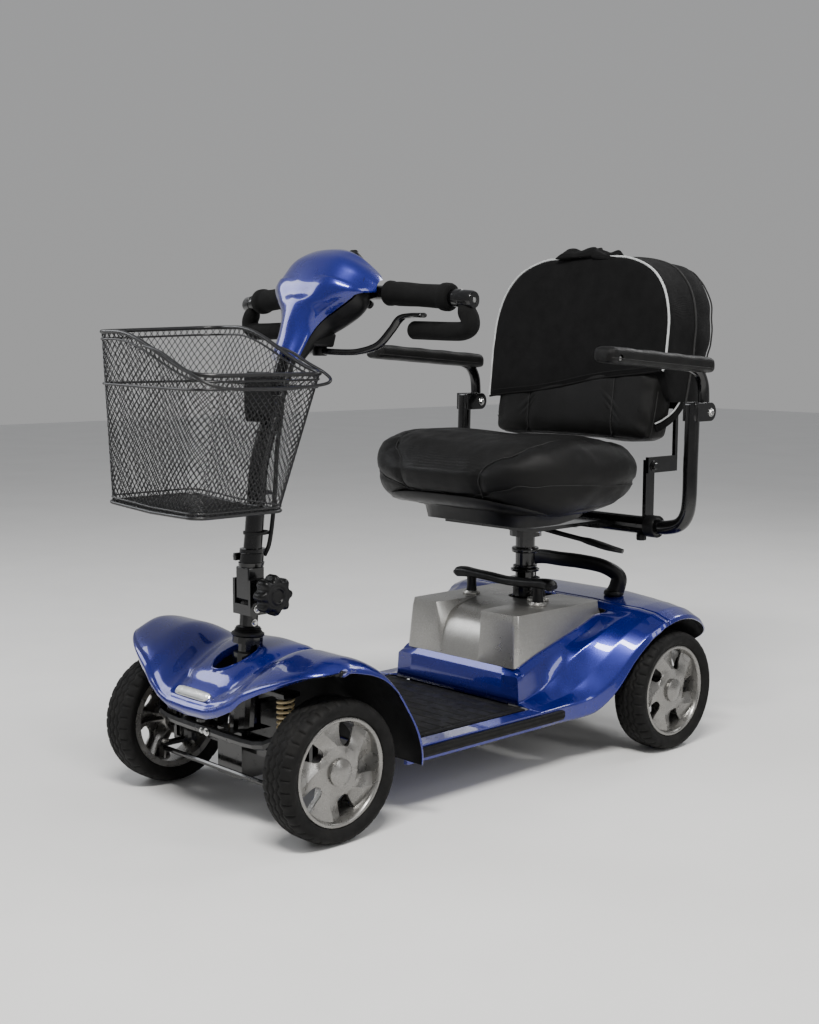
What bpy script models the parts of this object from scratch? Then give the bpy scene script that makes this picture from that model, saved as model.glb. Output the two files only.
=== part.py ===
# Mobility scooter: four small wheels, folding tiller with basket, swivel seat.
# Metres, +Z up. The scooter faces -Y and its left side is +X. The origin is on the
# floor, under the centre of the bounding box. Shapes are laid out about the point
# on the floor midway between the axles, then shifted by SHIFT_Y.
import bpy, bmesh, math
import numpy as np
from mathutils import Vector, Matrix

for o in list(bpy.data.objects):
    bpy.data.objects.remove(o, do_unlink=True)

# ---------------------------------------------------------------- dimensions
SHIFT_Y = -0.0154        # axle midpoint to the bounding box's centre
GAP = 0.0004             # clearance between pieces that touch
AXLE_Y = 0.368           # half the wheelbase
TYRE_R = 0.104
TYRE_W = 0.062
RIM_R = 0.0792
FRONT_X = 0.2005         # front wheel centre
REAR_X = 0.234           # rear wheel centre
KING_X = 0.148           # kingpin
COWL_X = 0.238           # half width of the front cowl
DECK_X = 0.199
POST_Y = 0.264           # seat post
POST_R = 0.0175
HEAD_BASE = (0.0, -0.361, 0.250)
STEER_AX = Vector((0.0, 0.0785, 0.9969)).normalized()
FOLD = (0.0, -0.3545, 0.333)
TILL_R = 0.01425
BACK_HINGE = (0.387, 0.490)
ARM_X = 0.27
ARM_PIVOT = (0.4135, 0.587)

# ---------------------------------------------------------------- materials
def mat(name, rgb, rough=0.5, metal=0.0):
    m = bpy.data.materials.get(name) or bpy.data.materials.new(name)
    m.use_nodes = True
    b = m.node_tree.nodes.get("Principled BSDF")
    b.inputs["Base Color"].default_value = (*rgb, 1)
    b.inputs["Roughness"].default_value = rough
    b.inputs["Metallic"].default_value = metal
    return m

BLUE = mat("blue_metallic", (0.01, 0.035, 0.30), 0.18, 0.3)
SILVER = mat("silver_plastic", (0.45, 0.44, 0.42), 0.35, 0.3)
RIMS = mat("wheel_silver", (0.55, 0.54, 0.52), 0.35, 0.4)
BLACK = mat("black_paint", (0.012, 0.012, 0.013), 0.3, 0.2)
PLAST = mat("black_plastic", (0.015, 0.015, 0.016), 0.5)
RUBBER = mat("black_rubber", (0.014, 0.014, 0.014), 0.8)
FOAM = mat("foam_rubber", (0.02, 0.02, 0.02), 0.9)
LEATHER = mat("black_leather", (0.02, 0.02, 0.022), 0.5)
CLOTH = mat("black_cloth", (0.016, 0.016, 0.018), 0.95)
STEEL = mat("bare_steel", (0.5, 0.5, 0.5), 0.3, 1.0)
SPRING = mat("cream_paint", (0.62, 0.52, 0.34), 0.4)
LENS = mat("clear_lens", (0.75, 0.78, 0.8), 0.1)

# ---------------------------------------------------------------- helpers
def obj(name, verts, faces, material, origin=(0, 0, 0), smooth=None, fix=True):
    me = bpy.data.meshes.new(name)
    o0 = Vector(origin)
    me.from_pydata([tuple(Vector(v) - o0) for v in verts], [], faces)
    me.update()
    if fix:
        bm = bmesh.new(); bm.from_mesh(me)
        bmesh.ops.remove_doubles(bm, verts=bm.verts, dist=1e-6)
        bmesh.ops.recalc_face_normals(bm, faces=bm.faces)
        bm.to_mesh(me); bm.free()
    if smooth is not None:
        me.shade_smooth()
        me.set_sharp_from_angle(angle=math.radians(smooth))
    me.materials.append(material)
    ob = bpy.data.objects.new(name, me)
    ob.location = (o0.x, o0.y + SHIFT_Y, o0.z)
    bpy.context.scene.collection.objects.link(ob)
    return ob

def loft(rings, cap=True):
    """Closed rings of equal length joined into one solid."""
    n = len(rings[0]); V = [p for r in rings for p in r]; F = []
    for i in range(len(rings) - 1):
        for j in range(n):
            k = (j + 1) % n
            F.append((i * n + j, i * n + k, (i + 1) * n + k, (i + 1) * n + j))
    if cap:
        F.append(tuple(range(n - 1, -1, -1)))
        F.append(tuple((len(rings) - 1) * n + j for j in range(n)))
    return V, F

def frames(pts):
    pts = [Vector(p) for p in pts]; T = []
    for i in range(len(pts)):
        a = pts[max(i - 1, 0)]; b = pts[min(i + 1, len(pts) - 1)]
        T.append((b - a).normalized())
    up = Vector((0, 0, 1)) if abs(T[0].z) < 0.9 else Vector((1, 0, 0))
    n = (up - T[0] * up.dot(T[0])).normalized(); out = []
    for i, t in enumerate(T):
        if i:
            ax = T[i - 1].cross(t)
            if ax.length > 1e-9:
                n = Matrix.Rotation(T[i - 1].angle(t), 3, ax.normalized()) @ n
        out.append((pts[i], t, n, t.cross(n)))
    return out

def tube(pts, r, seg=12, sx=1.0):
    """Solid rod along a path; r may be a list."""
    R = r if isinstance(r, (list, tuple)) else [r] * len(pts)
    rings = []
    for (p, t, n, b), q in zip(frames(pts), R):
        rings.append([p + n * (q * math.cos(a)) + b * (q * sx * math.sin(a))
                      for a in (2 * math.pi * (k + 0.5) / seg for k in range(seg))])
    return loft(rings)

def smooth_path(pts, n):
    """Catmull-Rom points through a route."""
    P = [Vector(p) for p in pts]
    P = [P[0] * 2 - P[1]] + P + [P[-1] * 2 - P[-2]]
    out = []
    m = len(P) - 3
    for i in range(n):
        s = i / (n - 1) * m; k = min(int(s), m - 1); t = s - k
        a, b, c, d = P[k:k + 4]
        out.append(0.5 * (2 * b + (c - a) * t + (2 * a - 5 * b + 4 * c - d) * t * t
                          + (3 * b - a - 3 * c + d) * t ** 3))
    return out

def turned(profile, seg, centre, axis, closed=True):
    """Profile (r, h) turned about an axis; closed makes a ring, else the ends cap."""
    c = Vector(centre); ax = Vector(axis).normalized()
    u = Vector((0, 0, 1)) if abs(ax.x) > .9 else ax.orthogonal().normalized()
    w = ax.cross(u)
    m = len(profile); V = []; F = []
    for k in range(seg):
        a = 2 * math.pi * (k + .5) / seg
        d = u * math.cos(a) + w * math.sin(a)
        V += [c + d * r + ax * h for r, h in profile]
    for k in range(seg):
        k2 = (k + 1) % seg
        for j in range(m if closed else m - 1):
            j2 = (j + 1) % m
            F.append((k * m + j, k2 * m + j, k2 * m + j2, k * m + j2))
    if not closed:
        F.append(tuple(k * m for k in range(seg)))
        F.append(tuple(k * m + m - 1 for k in range(seg - 1, -1, -1)))
    return V, F

def boxm(lo, hi):
    x0, y0, z0 = lo; x1, y1, z1 = hi
    V = [(x0, y0, z0), (x1, y0, z0), (x1, y1, z0), (x0, y1, z0),
         (x0, y0, z1), (x1, y0, z1), (x1, y1, z1), (x0, y1, z1)]
    F = [(3, 2, 1, 0), (4, 5, 6, 7), (0, 1, 5, 4), (1, 2, 6, 5), (2, 3, 7, 6), (3, 0, 4, 7)]
    return V, F

def cyl(p0, p1, r, seg=12):
    return tube([p0, p1], r, seg)

def mirror_x(m):
    V, F = m
    return [(-v[0], v[1], v[2]) for v in V], [tuple(reversed(f)) for f in F]

def cutter(name, m, target, op='DIFFERENCE'):
    c = obj(name, m[0], m[1], PLAST)
    c.hide_render = True; c.display_type = 'WIRE'
    b = target.modifiers.new(name, 'BOOLEAN')
    b.operation = op; b.solver = 'EXACT'; b.object = c
    return c

def union(name, parts, material, origin=(0, 0, 0), cuts=(), smooth=None):
    """One solid out of several overlapping ones, with holes cut after."""
    o = obj(name, parts[0][0], parts[0][1], material, origin, smooth)
    for i, m in enumerate(parts[1:]):
        cutter("add_%s_%d" % (name, i), m, o, 'UNION')
    for i, m in enumerate(cuts):
        cutter("cut_%s_%d" % (name, i), m, o)
    return o

def lerp(a, b, t): return a + (b - a) * t
def sstep(a, b, x):
    t = min(max((x - a) / (b - a), 0), 1); return t * t * (3 - 2 * t)
def table(T, x):
    return float(np.interp(x, [t[0] for t in T], [t[1] for t in T]))

# ---------------------------------------------------------------- front cowl
LIP = [(0, .162), (.046, .164), (.072, .172), (.102, .186), (.12, .202), (.152, .218),
       (.176, .228), (.21, .243), (.232, .248), (.238, .249)]
CEN = [(-.472, .162), (-.477, .172), (-.470, .187), (-.455, .200), (-.435, .213), (-.410, .226),
       (-.382, .238), (-.352, .248), (-.322, .252), (-.296, .250), (-.276, .240), (-.262, .215),
       (-.254, .180), (-.250, .145), (-.248, .107)]
FEN = [(-.430, .222), (-.436, .229), (-.428, .240), (-.412, .251), (-.392, .261), (-.370, .266),
       (-.345, .264), (-.318, .255), (-.292, .239), (-.268, .213), (-.250, .185), (-.236, .160),
       (-.226, .135), (-.221, .110), (-.221, .088)]

def cowl_front(ax):
    return -.300 - .172 * max(1 - (ax / COWL_X) ** 3, 0) ** (1 / 3)

def cowl_column(x):
    ax = min(abs(x), COWL_X)
    w = sstep(.05, .145, ax)
    P = [Vector((x, lerp(c[0], f[0], w), lerp(c[1], f[1], w))) for c, f in zip(CEN, FEN)]
    dy = cowl_front(ax) - P[0].y; dz = table(LIP, ax) - P[0].z
    s = max((ax - .198) / (COWL_X - .198), 0)
    drop = .020 * (1 - math.sqrt(max(1 - s * s, 0)))
    out = []
    for i, p in enumerate(P):
        k = max(1 - i / 6, 0) ** 1.4
        a = P[max(i - 1, 0)]; b = P[min(i + 1, len(P) - 1)]
        t = (b - a).normalized(); n = Vector((0, t.z, -t.y))
        q = p + Vector((0, dy * k, dz * k)) + n * drop * sstep(0, 4, i)
        out.append(q)
    return out

def sheet(cols, skip=()):
    n = len(cols[0]); V = [p for c in cols for p in c]; F = []
    for i in range(len(cols) - 1):
        for j in range(n - 1):
            if (i, j) in skip: continue
            F.append((i * n + j, (i + 1) * n + j, (i + 1) * n + j + 1, i * n + j + 1))
    return V, F

xs = [0, .035, .07, .10, .125, .15, .175, .2, .218, .230, .238]
xs = [-x for x in xs[:0:-1]] + xs
V, F = sheet([cowl_column(x) for x in xs])
cowl = obj("front_cowl", V, F, BLUE, fix=False, smooth=40)
def outward(o, inside):
    me = o.data
    bm = bmesh.new(); bm.from_mesh(me)
    bmesh.ops.remove_doubles(bm, verts=bm.verts, dist=1e-6)
    bmesh.ops.recalc_face_normals(bm, faces=bm.faces)
    bm.normal_update()
    s = sum((f.calc_center_median() + o.location - Vector(inside)).dot(f.normal) * f.calc_area() for f in bm.faces)
    if s < 0:
        bmesh.ops.reverse_faces(bm, faces=bm.faces)
    bm.to_mesh(me); bm.free()
outward(cowl, (0, -.36, .15))
def solidify(o, t):
    m = o.modifiers.new("wall", 'SOLIDIFY'); m.thickness = t; m.offset = -1
    m.use_even_offset = True; m.use_rim = True
solidify(cowl, .003)
pit = [[(0.030 * math.cos(a), -.382 + .040 * math.sin(a), z)
        for a in (2 * math.pi * k / 20 for k in range(20))] for z in (.19, .30)]
cutter("cut_cowl_pit", loft(pit), cowl)

# headlamp lens, in front of the nose
c0 = cowl_column(0)
a, b = c0[2], c0[3]
mid = (a + b) / 2; tdir = (b - a).normalized(); nrm = Vector((0, -tdir.z, tdir.y))
rings = []
for d, sx, sz in ((.0008, .038, .0065), (.0045, .038, .0065), (.007, .034, .0045)):
    rings.append([mid + nrm * d + Vector((sx * cx, 0, 0)) + tdir * sz * cz
                  for cx, cz in ((-1, -.6), (-.93, -1), (.93, -1), (1, -.6), (1, .6), (.93, 1), (-.93, 1), (-1, .6))])
obj("headlamp_lens", *loft(rings), LENS)

# ---------------------------------------------------------------- frame and deck
steer0 = Vector(HEAD_BASE)
def on_steer(z): return steer0 + STEER_AX * ((z - steer0.z) / STEER_AX.z)

union("main_frame", [
    boxm((-.022, -.344, .052), (.022, .3310, .086)),
    boxm((-.030, -.396, .055), (.030, -.340, .126)),
    cyl(on_steer(.118), on_steer(.240), .0215, 16),
    boxm((-.116, -.384, .192), (.116, -.354, .198)),
    boxm((-.012, -.346, .07), (.012, -.300, .16)),
    boxm((-.12, .092, .094), (.12, .238, .104)),
    boxm((-.030, .092, .080), (.030, .236, .100)),
    boxm((-.165, -.02, .062), (.165, .02, .084)),
    boxm((-.014, -.430, .123), (.014, -.385, .1255)),
    tube(smooth_path([(-.150, -.412, .150), (-.128, -.428, .135), (-.08, -.430, .130), (0, -.430, .130), (.08, -.430, .130), (.128, -.428, .135), (.150, -.412, .150)], 13), .0075, 8),
], BLACK, cuts=[cyl(on_steer(.10), on_steer(.26), .0152, 16)])

V = []; sec = [(-.199, .078), (-.199, .1035), (-.172, .1035), (-.168, .0985), (.168, .0985), (.172, .1035),
               (.199, .1035), (.199, .078), (.192, .078), (.192, .088), (-.192, .088), (-.192, .078)]
obj("deck_pan", *loft([[(x, y, z) for x, z in sec] for y in (-.2165, .0862)]), BLUE)
obj("deck_mat", *loft([[(x, y, z) for x, z in ((-.166, .0990), (.166, .0990), (.166, .1035), (.164, .1045), (-.164, .1045), (-.166, .1035))]
                       for y in (-.205, .083)]), RUBBER)
for s, nm in ((1, "L"), (-1, "R")):
    rings = [[(s * x, y, z) for x, z in ((.1995, .0835 + e), (.2035 - e, .0835 + e), (.2060 - e, .087), (.2060 - e, .0955),
                                         (.2035 - e, .0995 - e), (.1995, .0995 - e))]
             for y, e in ((-.198, .001), (-.194, 0), (.138, 0), (.142, .001))]
    obj("side_strip_" + nm, *loft(rings), RUBBER)

# ---------------------------------------------------------------- rear body
REAR = [
    (.0866, [(0, .1050), (.10, .1050), (.1455, .1050), (.1475, .1048), (.172, .1046), (.1988, .1042), (.1990, .078)]),
    (.0875, [(0, .1650), (.10, .1650), (.1440, .1650), (.1475, .110), (.172, .1046), (.1988, .1042), (.1990, .078)]),
    (.1000, [(.130, .1660), (.135, .1665), (.1440, .1665), (.148, .111), (.173, .1046), (.1988, .1042), (.1990, .078)]),
    (.1440, [(.130, .1815), (.135, .1820), (.1440, .1820), (.152, .127), (.176, .109), (.1988, .1045), (.1990, .078)]),
    (.1800, [(.130, .1920), (.135, .1925), (.1450, .1925), (.160, .152), (.182, .120), (.2035, .106), (.2040, .079)]),
    (.2150, [(.130, .2025), (.135, .2030), (.1455, .2030), (.168, .180), (.192, .144), (.2130, .116), (.2145, .088)]),
    (.2450, [(.130, .2110), (.135, .2115), (.1460, .2115), (.178, .201), (.205, .174), (.2280, .143), (.2310, .120)]),
    (.2750, [(.130, .2200), (.135, .2205), (.1470, .2205), (.185, .218), (.215, .204), (.2400, .182), (.2440, .167)]),
    (.3050, [(.130, .2290), (.135, .2295), (.1480, .2295), (.190, .231), (.222, .223), (.2490, .210), (.2535, .200)]),
    (.3270, [(.130, .2355), (.135, .2360), (.1490, .2360), (.192, .238), (.226, .233), (.2535, .221), (.2575, .213)]),
    (.3350, [(0, .2470), (.090, .2465), (.1500, .2430), (.195, .242), (.229, .237), (.2555, .226), (.2595, .219)]),
    (.3450, [(0, .2480), (.090, .2475), (.1500, .2440), (.195, .244), (.230, .240), (.2570, .230), (.2610, .223)]),
]
TAIL = [
    (.3460, [(0, .2480), (.090, .2475), (.1500, .2440), (.195, .244), (.230, .240), (.2570, .230), (.2610, .223)]),
    (.3750, [(0, .2500), (.090, .2495), (.1500, .2465), (.195, .247), (.231, .244), (.2580, .235), (.2625, .229)]),
    (.4100, [(0, .2510), (.090, .2510), (.1500, .2480), (.195, .247), (.231, .243), (.2570, .233), (.2620, .227)]),
    (.4450, [(0, .2490), (.090, .2490), (.1500, .2440), (.195, .239), (.229, .232), (.2520, .221), (.2570, .214)]),
    (.4700, [(0, .2400), (.090, .2400), (.1500, .2320), (.195, .225), (.225, .216), (.2430, .205), (.2470, .198)]),
    (.4880, [(0, .2220), (.090, .2210), (.1500, .2120), (.190, .205), (.216, .197), (.2280, .188), (.2300, .183)]),
    (.4970, [(0, .1850), (.090, .1850), (.1400, .1820), (.170, .179), (.192, .176), (.2050, .173), (.2080, .170)]),
    (.4985, [(0, .1300), (.080, .1300), (.1300, .1320), (.155, .138), (.172, .146), (.1820, .156), (.1860, .160)]),
]
def body_half(st, hole=None):
    cols = []
    for y, row in st:
        cols.append([Vector((x, y, z)) for x, z in row])
    V, F = sheet(cols)
    n = len(cols[0])
    V2 = [Vector((-v.x, v.y, v.z)) for v in V]
    F2 = [tuple(len(V) + i for i in reversed(f)) for f in F]
    return V + V2, F + F2
V, F = body_half(REAR)
shroud = obj("rear_shroud", V, F, BLUE, fix=False, smooth=40); outward(shroud, (0, .30, .1)); solidify(shroud, .0025)
V, F = body_half(TAIL)
tail = obj("rear_cover", V, F, BLUE, fix=False, smooth=40); outward(tail, (0, .38, .1)); solidify(tail, .0025)

union("transaxle", [
    cyl((-.075, AXLE_Y, .104), (.075, AXLE_Y, .104), .036, 16),
    cyl((-.192, AXLE_Y, .104), (.192, AXLE_Y, .104), .014, 12),
    cyl((-.262, AXLE_Y, .104), (.262, AXLE_Y, .104), .0060, 10),
    cyl((.02, AXLE_Y, .112), (.02, .480, .112), .031, 16),
    boxm((-.03, .3403, .085), (.03, .36, .118)),
    boxm((-.150, .372, .085), (-.110, .430, .0990)),
], BLACK)
union("brake_release_lever", [
    cyl((-.1300, .410, .100), (-.1300, .410, .130), .0080, 12),
    boxm((-.134, .410, .118), (-.126, .470, .124)),
], PLAST, origin=(-.13, .410, .1))
bpy.data.objects["brake_release_lever"].data.materials[0] = mat("signal_orange", (.75, .18, .02), .5)

V, F = turned([(.0182, .0864), (.0215, .0864), (.0215, .268), (.0275, .270), (.0275, .284), (.0182, .284)], 16,
              (0, POST_Y, 0), (0, 0, 1))
obj("seat_sleeve", V, F, BLACK, smooth=40)

hp = smooth_path([(-.105, .392, .2525), (-.102, .390, .278), (-.085, .378, .298), (-.045, .366, .306), (0, .362, .307),
                  (.045, .366, .307), (.088, .378, .301), (.110, .390, .282), (.112, .392, .2525)], 17)
obj("rear_handle", *tube(hp, .0115, 10), PLAST, smooth=50)

# ---------------------------------------------------------------- battery box
per = [(.0285, .324), (.085, .324), (.122, .324), (.1315, .314), (.1320, .25), (.1320, .18), (.1320, .11), (.122, .0985),
       (.06, .0955), (0, .0955)]
per = per + [(-x, y) for x, y in per[:-1][::-1]] + [(-.0285, .250), (-.019, .2405), (0, .2350), (.019, .2405), (.0285, .250)]
def edge_z(y): return .166 + .291 * (y - .087) + .0012
def inset(p, d):
    x, y = p
    if abs(x) <= .0290 and y > .234: return (x, y)
    cx = max(min(x, .09), -.09); cy = max(min(y, .28), .14)
    v = Vector((x - cx, y - cy)); L = v.length
    return (x - v.x / L * d, y - v.y / L * d) if L > 1e-6 else p
rings = [[(x, y, edge_z(y)) for x, y in per]]
for z, d in ((.238, .004), (.2465, .008), (.2500, .018)):
    rings.append([(*inset(p, d), max(z, edge_z(p[1]) + .0015 * (z > .24) + (.001 if z < .24 else .003))) for p in per])
n = len(per)
V, F = loft(rings, cap=False); F.append(tuple(3 * n + j for j in range(n)))
cover = obj("battery_cover", V, F, SILVER, fix=False, smooth=40)
outward(cover, (0, .20, .18)); solidify(cover, .0025)
obj("battery_pack", *boxm((-.102, .106, .1050), (.102, .230, .214)), PLAST)
V, F = tube(smooth_path([(-.118, .207, .286), (-.085, .209, .289), (0, .214, .284), (.085, .209, .289), (.118, .207, .286)], 9), [.006, .009, .0095, .0085, .008, .0085, .0095, .009, .006], 10)
union("battery_handle", [(V, F), cyl((.08, .209, .2560), (.08, .209, .289), .0085, 10), cyl((-.08, .209, .2560), (-.08, .209, .289), .0085, 10)], PLAST)

# ---------------------------------------------------------------- seat
union("seat_post", [cyl((0, POST_Y, .115), (0, POST_Y, .366), POST_R, 20),
                    cyl((0, POST_Y, .360), (0, POST_Y, .3695), .029, 16)], BLACK, origin=(0, POST_Y, .366))
sf = [cyl((0, POST_Y, .3700), (0, POST_Y, .388), .031, 16),
      boxm((-.105, .165, .3840), (.105, .372, .3905)),
      cyl((-.205, .380, .3850), (.205, .380, .3850), .0160, 16),
      boxm((-.105, .340, .3760), (.105, .386, .3910))]
for s in (1, -1):
    a, b = sorted((s * .1720, s * .1790))
    sf.append(boxm((a, .3780, .388), (b, .4020, .5005)))
union("seat_frame", sf, BLACK, origin=(0, POST_Y, .37),
      cuts=[cyl((.075, .380, .3850), (.24, .380, .3850), .0130, 16), cyl((-.075, .380, .3850), (-.24, .380, .3850), .0130, 16),
            cyl((-.2, BACK_HINGE[0], BACK_HINGE[1]), (.2, BACK_HINGE[0], BACK_HINGE[1]), .0055, 12)])

def sup(cx, cy, rx, ry, n, p=4.0):
    out = []
    for k in range(n):
        a = 2 * math.pi * (k + .5) / n; c, s = math.cos(a), math.sin(a)
        out.append((cx + rx * math.copysign(abs(c) ** (2 / p), c), cy + ry * math.copysign(abs(s) ** (2 / p), s)))
    return out
def seat_top(y):
    return table([(.03, .492), (.05, .512), (.09, .532), (.15, .541), (.23, .540), (.30, .528), (.35, .512), (.375, .497), (.40, .480)], y)
def seat_bot(y):
    return table([(.03, .452), (.06, .436), (.12, .424), (.20, .416), (.30, .410), (.36, .411), (.40, .420)], y)
rings = []
for f, k in ((.80, 0), (.94, .12), (1.0, .35), (1.0, .62), (.965, .85), (.87, 1.0)):
    ring = []
    for x, y in sup(0, .215, .220 * f, .185 * (1 - (1 - f) * .8), 32, 3.6):
        ring.append((x, y, lerp(seat_bot(y), seat_top(y), k)))
    rings.append(ring)
obj("seat_cushion", *loft(rings), LEATHER, smooth=60)

lv = Vector((.14, .05, -.031)).normalized(); l0 = Vector((.030, .270, .3760))
lv_pts = [Vector((.034, .2715, .3750)), Vector((.085, .290, .3640)), Vector((.120, .302, .3560)), Vector((.175, .322, .3440))]
V, F = tube(lv_pts, [.0035, .0042, .0075, .006], 8)
lever = obj("seat_lever", V, F, PLAST, origin=(.030, .270, .376), smooth=50)

# ---------------------------------------------------------------- backrest
def back_y(z): return .3715 + (z - .53) * .15
half = [(0, .530), (.09, .530), (.170, .530), (.186, .546), (.192, .62), (.193, .69), (.186, .745), (.168, .790), (.135, .824),
        (.09, .841), (.04, .848)]
outl = half + [(0, .8485)] + [(-x, z) for x, z in half[:0:-1]]
def back_loft(grow, fronts, zmin=None, thick=1.0):
    rings = []
    for d, sc in fronts:
        ring = []
        for x, z in outl:
            gx = (x * sc) * (1 + grow / .19); gz = .69 + (z - .69) * sc * (1 + grow / .16)
            if zmin is not None: gz = max(gz, zmin)
            ring.append((gx, back_y(gz) + d, gz))
        rings.append(ring)
    return loft(rings)
obj("back_cushion", *back_loft(0, ((0.002, .90), (.000, .95), (.014, 1.0), (.050, 1.0), (.060, .97))), LEATHER, smooth=60)
bag = obj("back_bag", *back_loft(.010, ((-.006, .93), (.004, 1.0), (.066, 1.0), (.074, .985), (.118, .93), (.152, .80)), zmin=.628), CLOTH, smooth=50)
cutter("cut_back_bag", back_loft(.0012, ((-.002, .92), (-.0012, .95), (.010, 1.0), (.053, 1.0), (.0620, .97)), zmin=None), bag)

bf = [boxm((-.1880, .4485, .588), (.1880, .4560, .612))]
for s in (1, -1):
    a, b = sorted((s * .1815, s * .1880))
    bf.append(boxm((a, .4485, .484), (b, .4560, .6125)))
    bf.append(boxm((a, .372, .478), (b, .4560, .506)))
union("back_frame", bf, BLACK, origin=(0, BACK_HINGE[0], BACK_HINGE[1]),
      cuts=[cyl((-.2, BACK_HINGE[0], BACK_HINGE[1]), (.2, BACK_HINGE[0], BACK_HINGE[1]), .0055, 12)])

# ---------------------------------------------------------------- armrests
for s, nm in ((1, "L"), (-1, "R")):
    p = [(s * .085, .380, .385), (s * .180, .380, .385), (s * .225, .380, .3855), (s * .250, .380, .393), (s * .264, .380, .409),
         (s * .2695, .380, .436), (s * ARM_X, .381, .50), (s * ARM_X, .3825, .600)]
    tb = tube(p, .0125, 12)
    x0, x1 = sorted((s * .2560, s * .2840))
    q0, q1 = sorted((s * .2818, s * .2858)); r0, r1 = sorted((s * .2542, s * .2582))
    union("arm_tube_" + nm, [tb, boxm((x0, .3740, .572), (x1, .3935, .604)), boxm((q0, .376, .572), (q1, .4285, .604)),
                             boxm((r0, .376, .572), (r1, .4285, .604))], BLACK, origin=(s * ARM_X, .38, .385), smooth=40,
          cuts=[cyl((s * .24, *ARM_PIVOT), (s * .30, *ARM_PIVOT), .0045, 10)])
    a0, a1 = sorted((s * .2596, s * .2804))
    union("arm_upper_" + nm, [boxm((a0, .4025, .574), (a1, .4250, .600)),
                              tube(smooth_path([(s * ARM_X, .4135, .590), (s * ARM_X, .4120, .618), (s * ARM_X, .4045, .6380), (s * ARM_X, .4035, .6505)], 5), .0100, 10)],
          BLACK, origin=(s * ARM_X, *ARM_PIVOT),
          cuts=[cyl((s * .24, *ARM_PIVOT), (s * .30, *ARM_PIVOT), .0045, 10)])
    sl = -.0714
    rings = []
    for y, e in ((.1365, .006), (.141, .0015), (.150, 0), (.405, 0), (.414, .0015), (.4185, .006)):
        zc = .6845 + sl * (y - .137) + .0015
        zb = max(zc - .013, .6600 + .0 * y) if y > .38 else zc - .013
        ring = []
        for x, z in ((-.0225, -.008), (-.016, -.013), (.016, -.013), (.0225, -.008), (.0225, .008), (.015, .0145), (-.015, .0145), (-.0225, .008)):
            ring.append((s * ARM_X + (x - math.copysign(e * .6, x)), y, zc + z - math.copysign(e * .5, z)))
        rings.append(ring)
    obj("arm_pad_" + nm, *loft(rings), LEATHER, smooth=60)

# ---------------------------------------------------------------- wheels
WSEG = 24
FLAT = 1 / math.cos(math.pi / WSEG)      # the flats, not the corners, touch the floor
def wheel(tag, cx, cy, s):
    """Tyre and wheel about the X axis; s is the outer side."""
    t = [(.0798, -.0245), (.0870, -.0302), (.0935, -.0310), (.1000, -.0275), (.1040, -.0120),
         (.1040, .0120), (.1000, .0275), (.0935, .0310), (.0870, .0302), (.0798, .0245)]
    obj("tyre_" + tag, *turned([(a * FLAT, b) for a, b in t], WSEG, (cx, cy, TYRE_R), (1, 0, 0)), RUBBER, origin=(cx, cy, TYRE_R), smooth=40)
    r = [(.0066, -.006), (.0200, -.006), (.0200, .010), (.0720, .010), (.0720, -.0245), (.0792, -.0245), (.0792, .0250), (.0740, .0255),
         (.0700, .0180), (.0066, .0250)]
    obj("rim_" + tag, *turned([(a * FLAT, s * b) for a, b in r], WSEG, (cx, cy, TYRE_R), (1, 0, 0)), RIMS, origin=(cx, cy, TYRE_R), smooth=40)
for s, nm in ((1, "L"), (-1, "R")):
    wheel("front_" + nm, s * FRONT_X, -AXLE_Y, s)
    wheel("rear_" + nm, s * REAR_X, AXLE_Y, s)
    ky = -AXLE_Y
    a = lambda lo, hi: tuple(zip(*[sorted(p) for p in zip(lo, hi)]))
    union("kingpin_" + nm, [
        cyl((s * KING_X, ky, .0765), (s * KING_X, ky, .1315), .0070, 12),
        boxm(*a((s * .139, ky - .010, .1280), (s * .173, ky + .010, .1335))),
        boxm(*a((s * .139, ky - .010, .0745), (s * .173, ky + .010, .0800))),
        boxm(*a((s * .1655, ky - .010, .0745), (s * .1730, ky + .010, .1335))),
        cyl((s * .170, ky, .104), (s * .229, ky, .104), .0060, 10),
        boxm(*a((s * .140, ky - .052, .0745), (s * .154, ky, .0800))),
    ], BLACK, origin=(s * KING_X, ky, .104))
    union("front_arm_" + nm, [
        boxm(*a((s * .0312, ky - .014, .0950), (s * .140, ky + .012, .1150))),
        cyl((s * KING_X, ky, .0808), (s * KING_X, ky, .1272), .0135, 14),
        cyl((s * .1000, ky, .112), (s * .1000, ky, .1200), .0150, 14),
    ], BLACK, origin=(s * .035, ky, .105), cuts=[cyl((s * KING_X, ky, .07), (s * KING_X, ky, .14), .0074, 12)])
    obj("front_spring_" + nm, *cyl((s * .1000, ky, .1206), (s * .1000, ky, .1914), .0140, 14), SPRING, origin=(s * .1, ky, .1914), smooth=40)
obj("tie_rod", *cyl((-.150, -AXLE_Y - .045, .0700), (.150, -AXLE_Y - .045, .0700), .0040, 8), BLACK)

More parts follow.
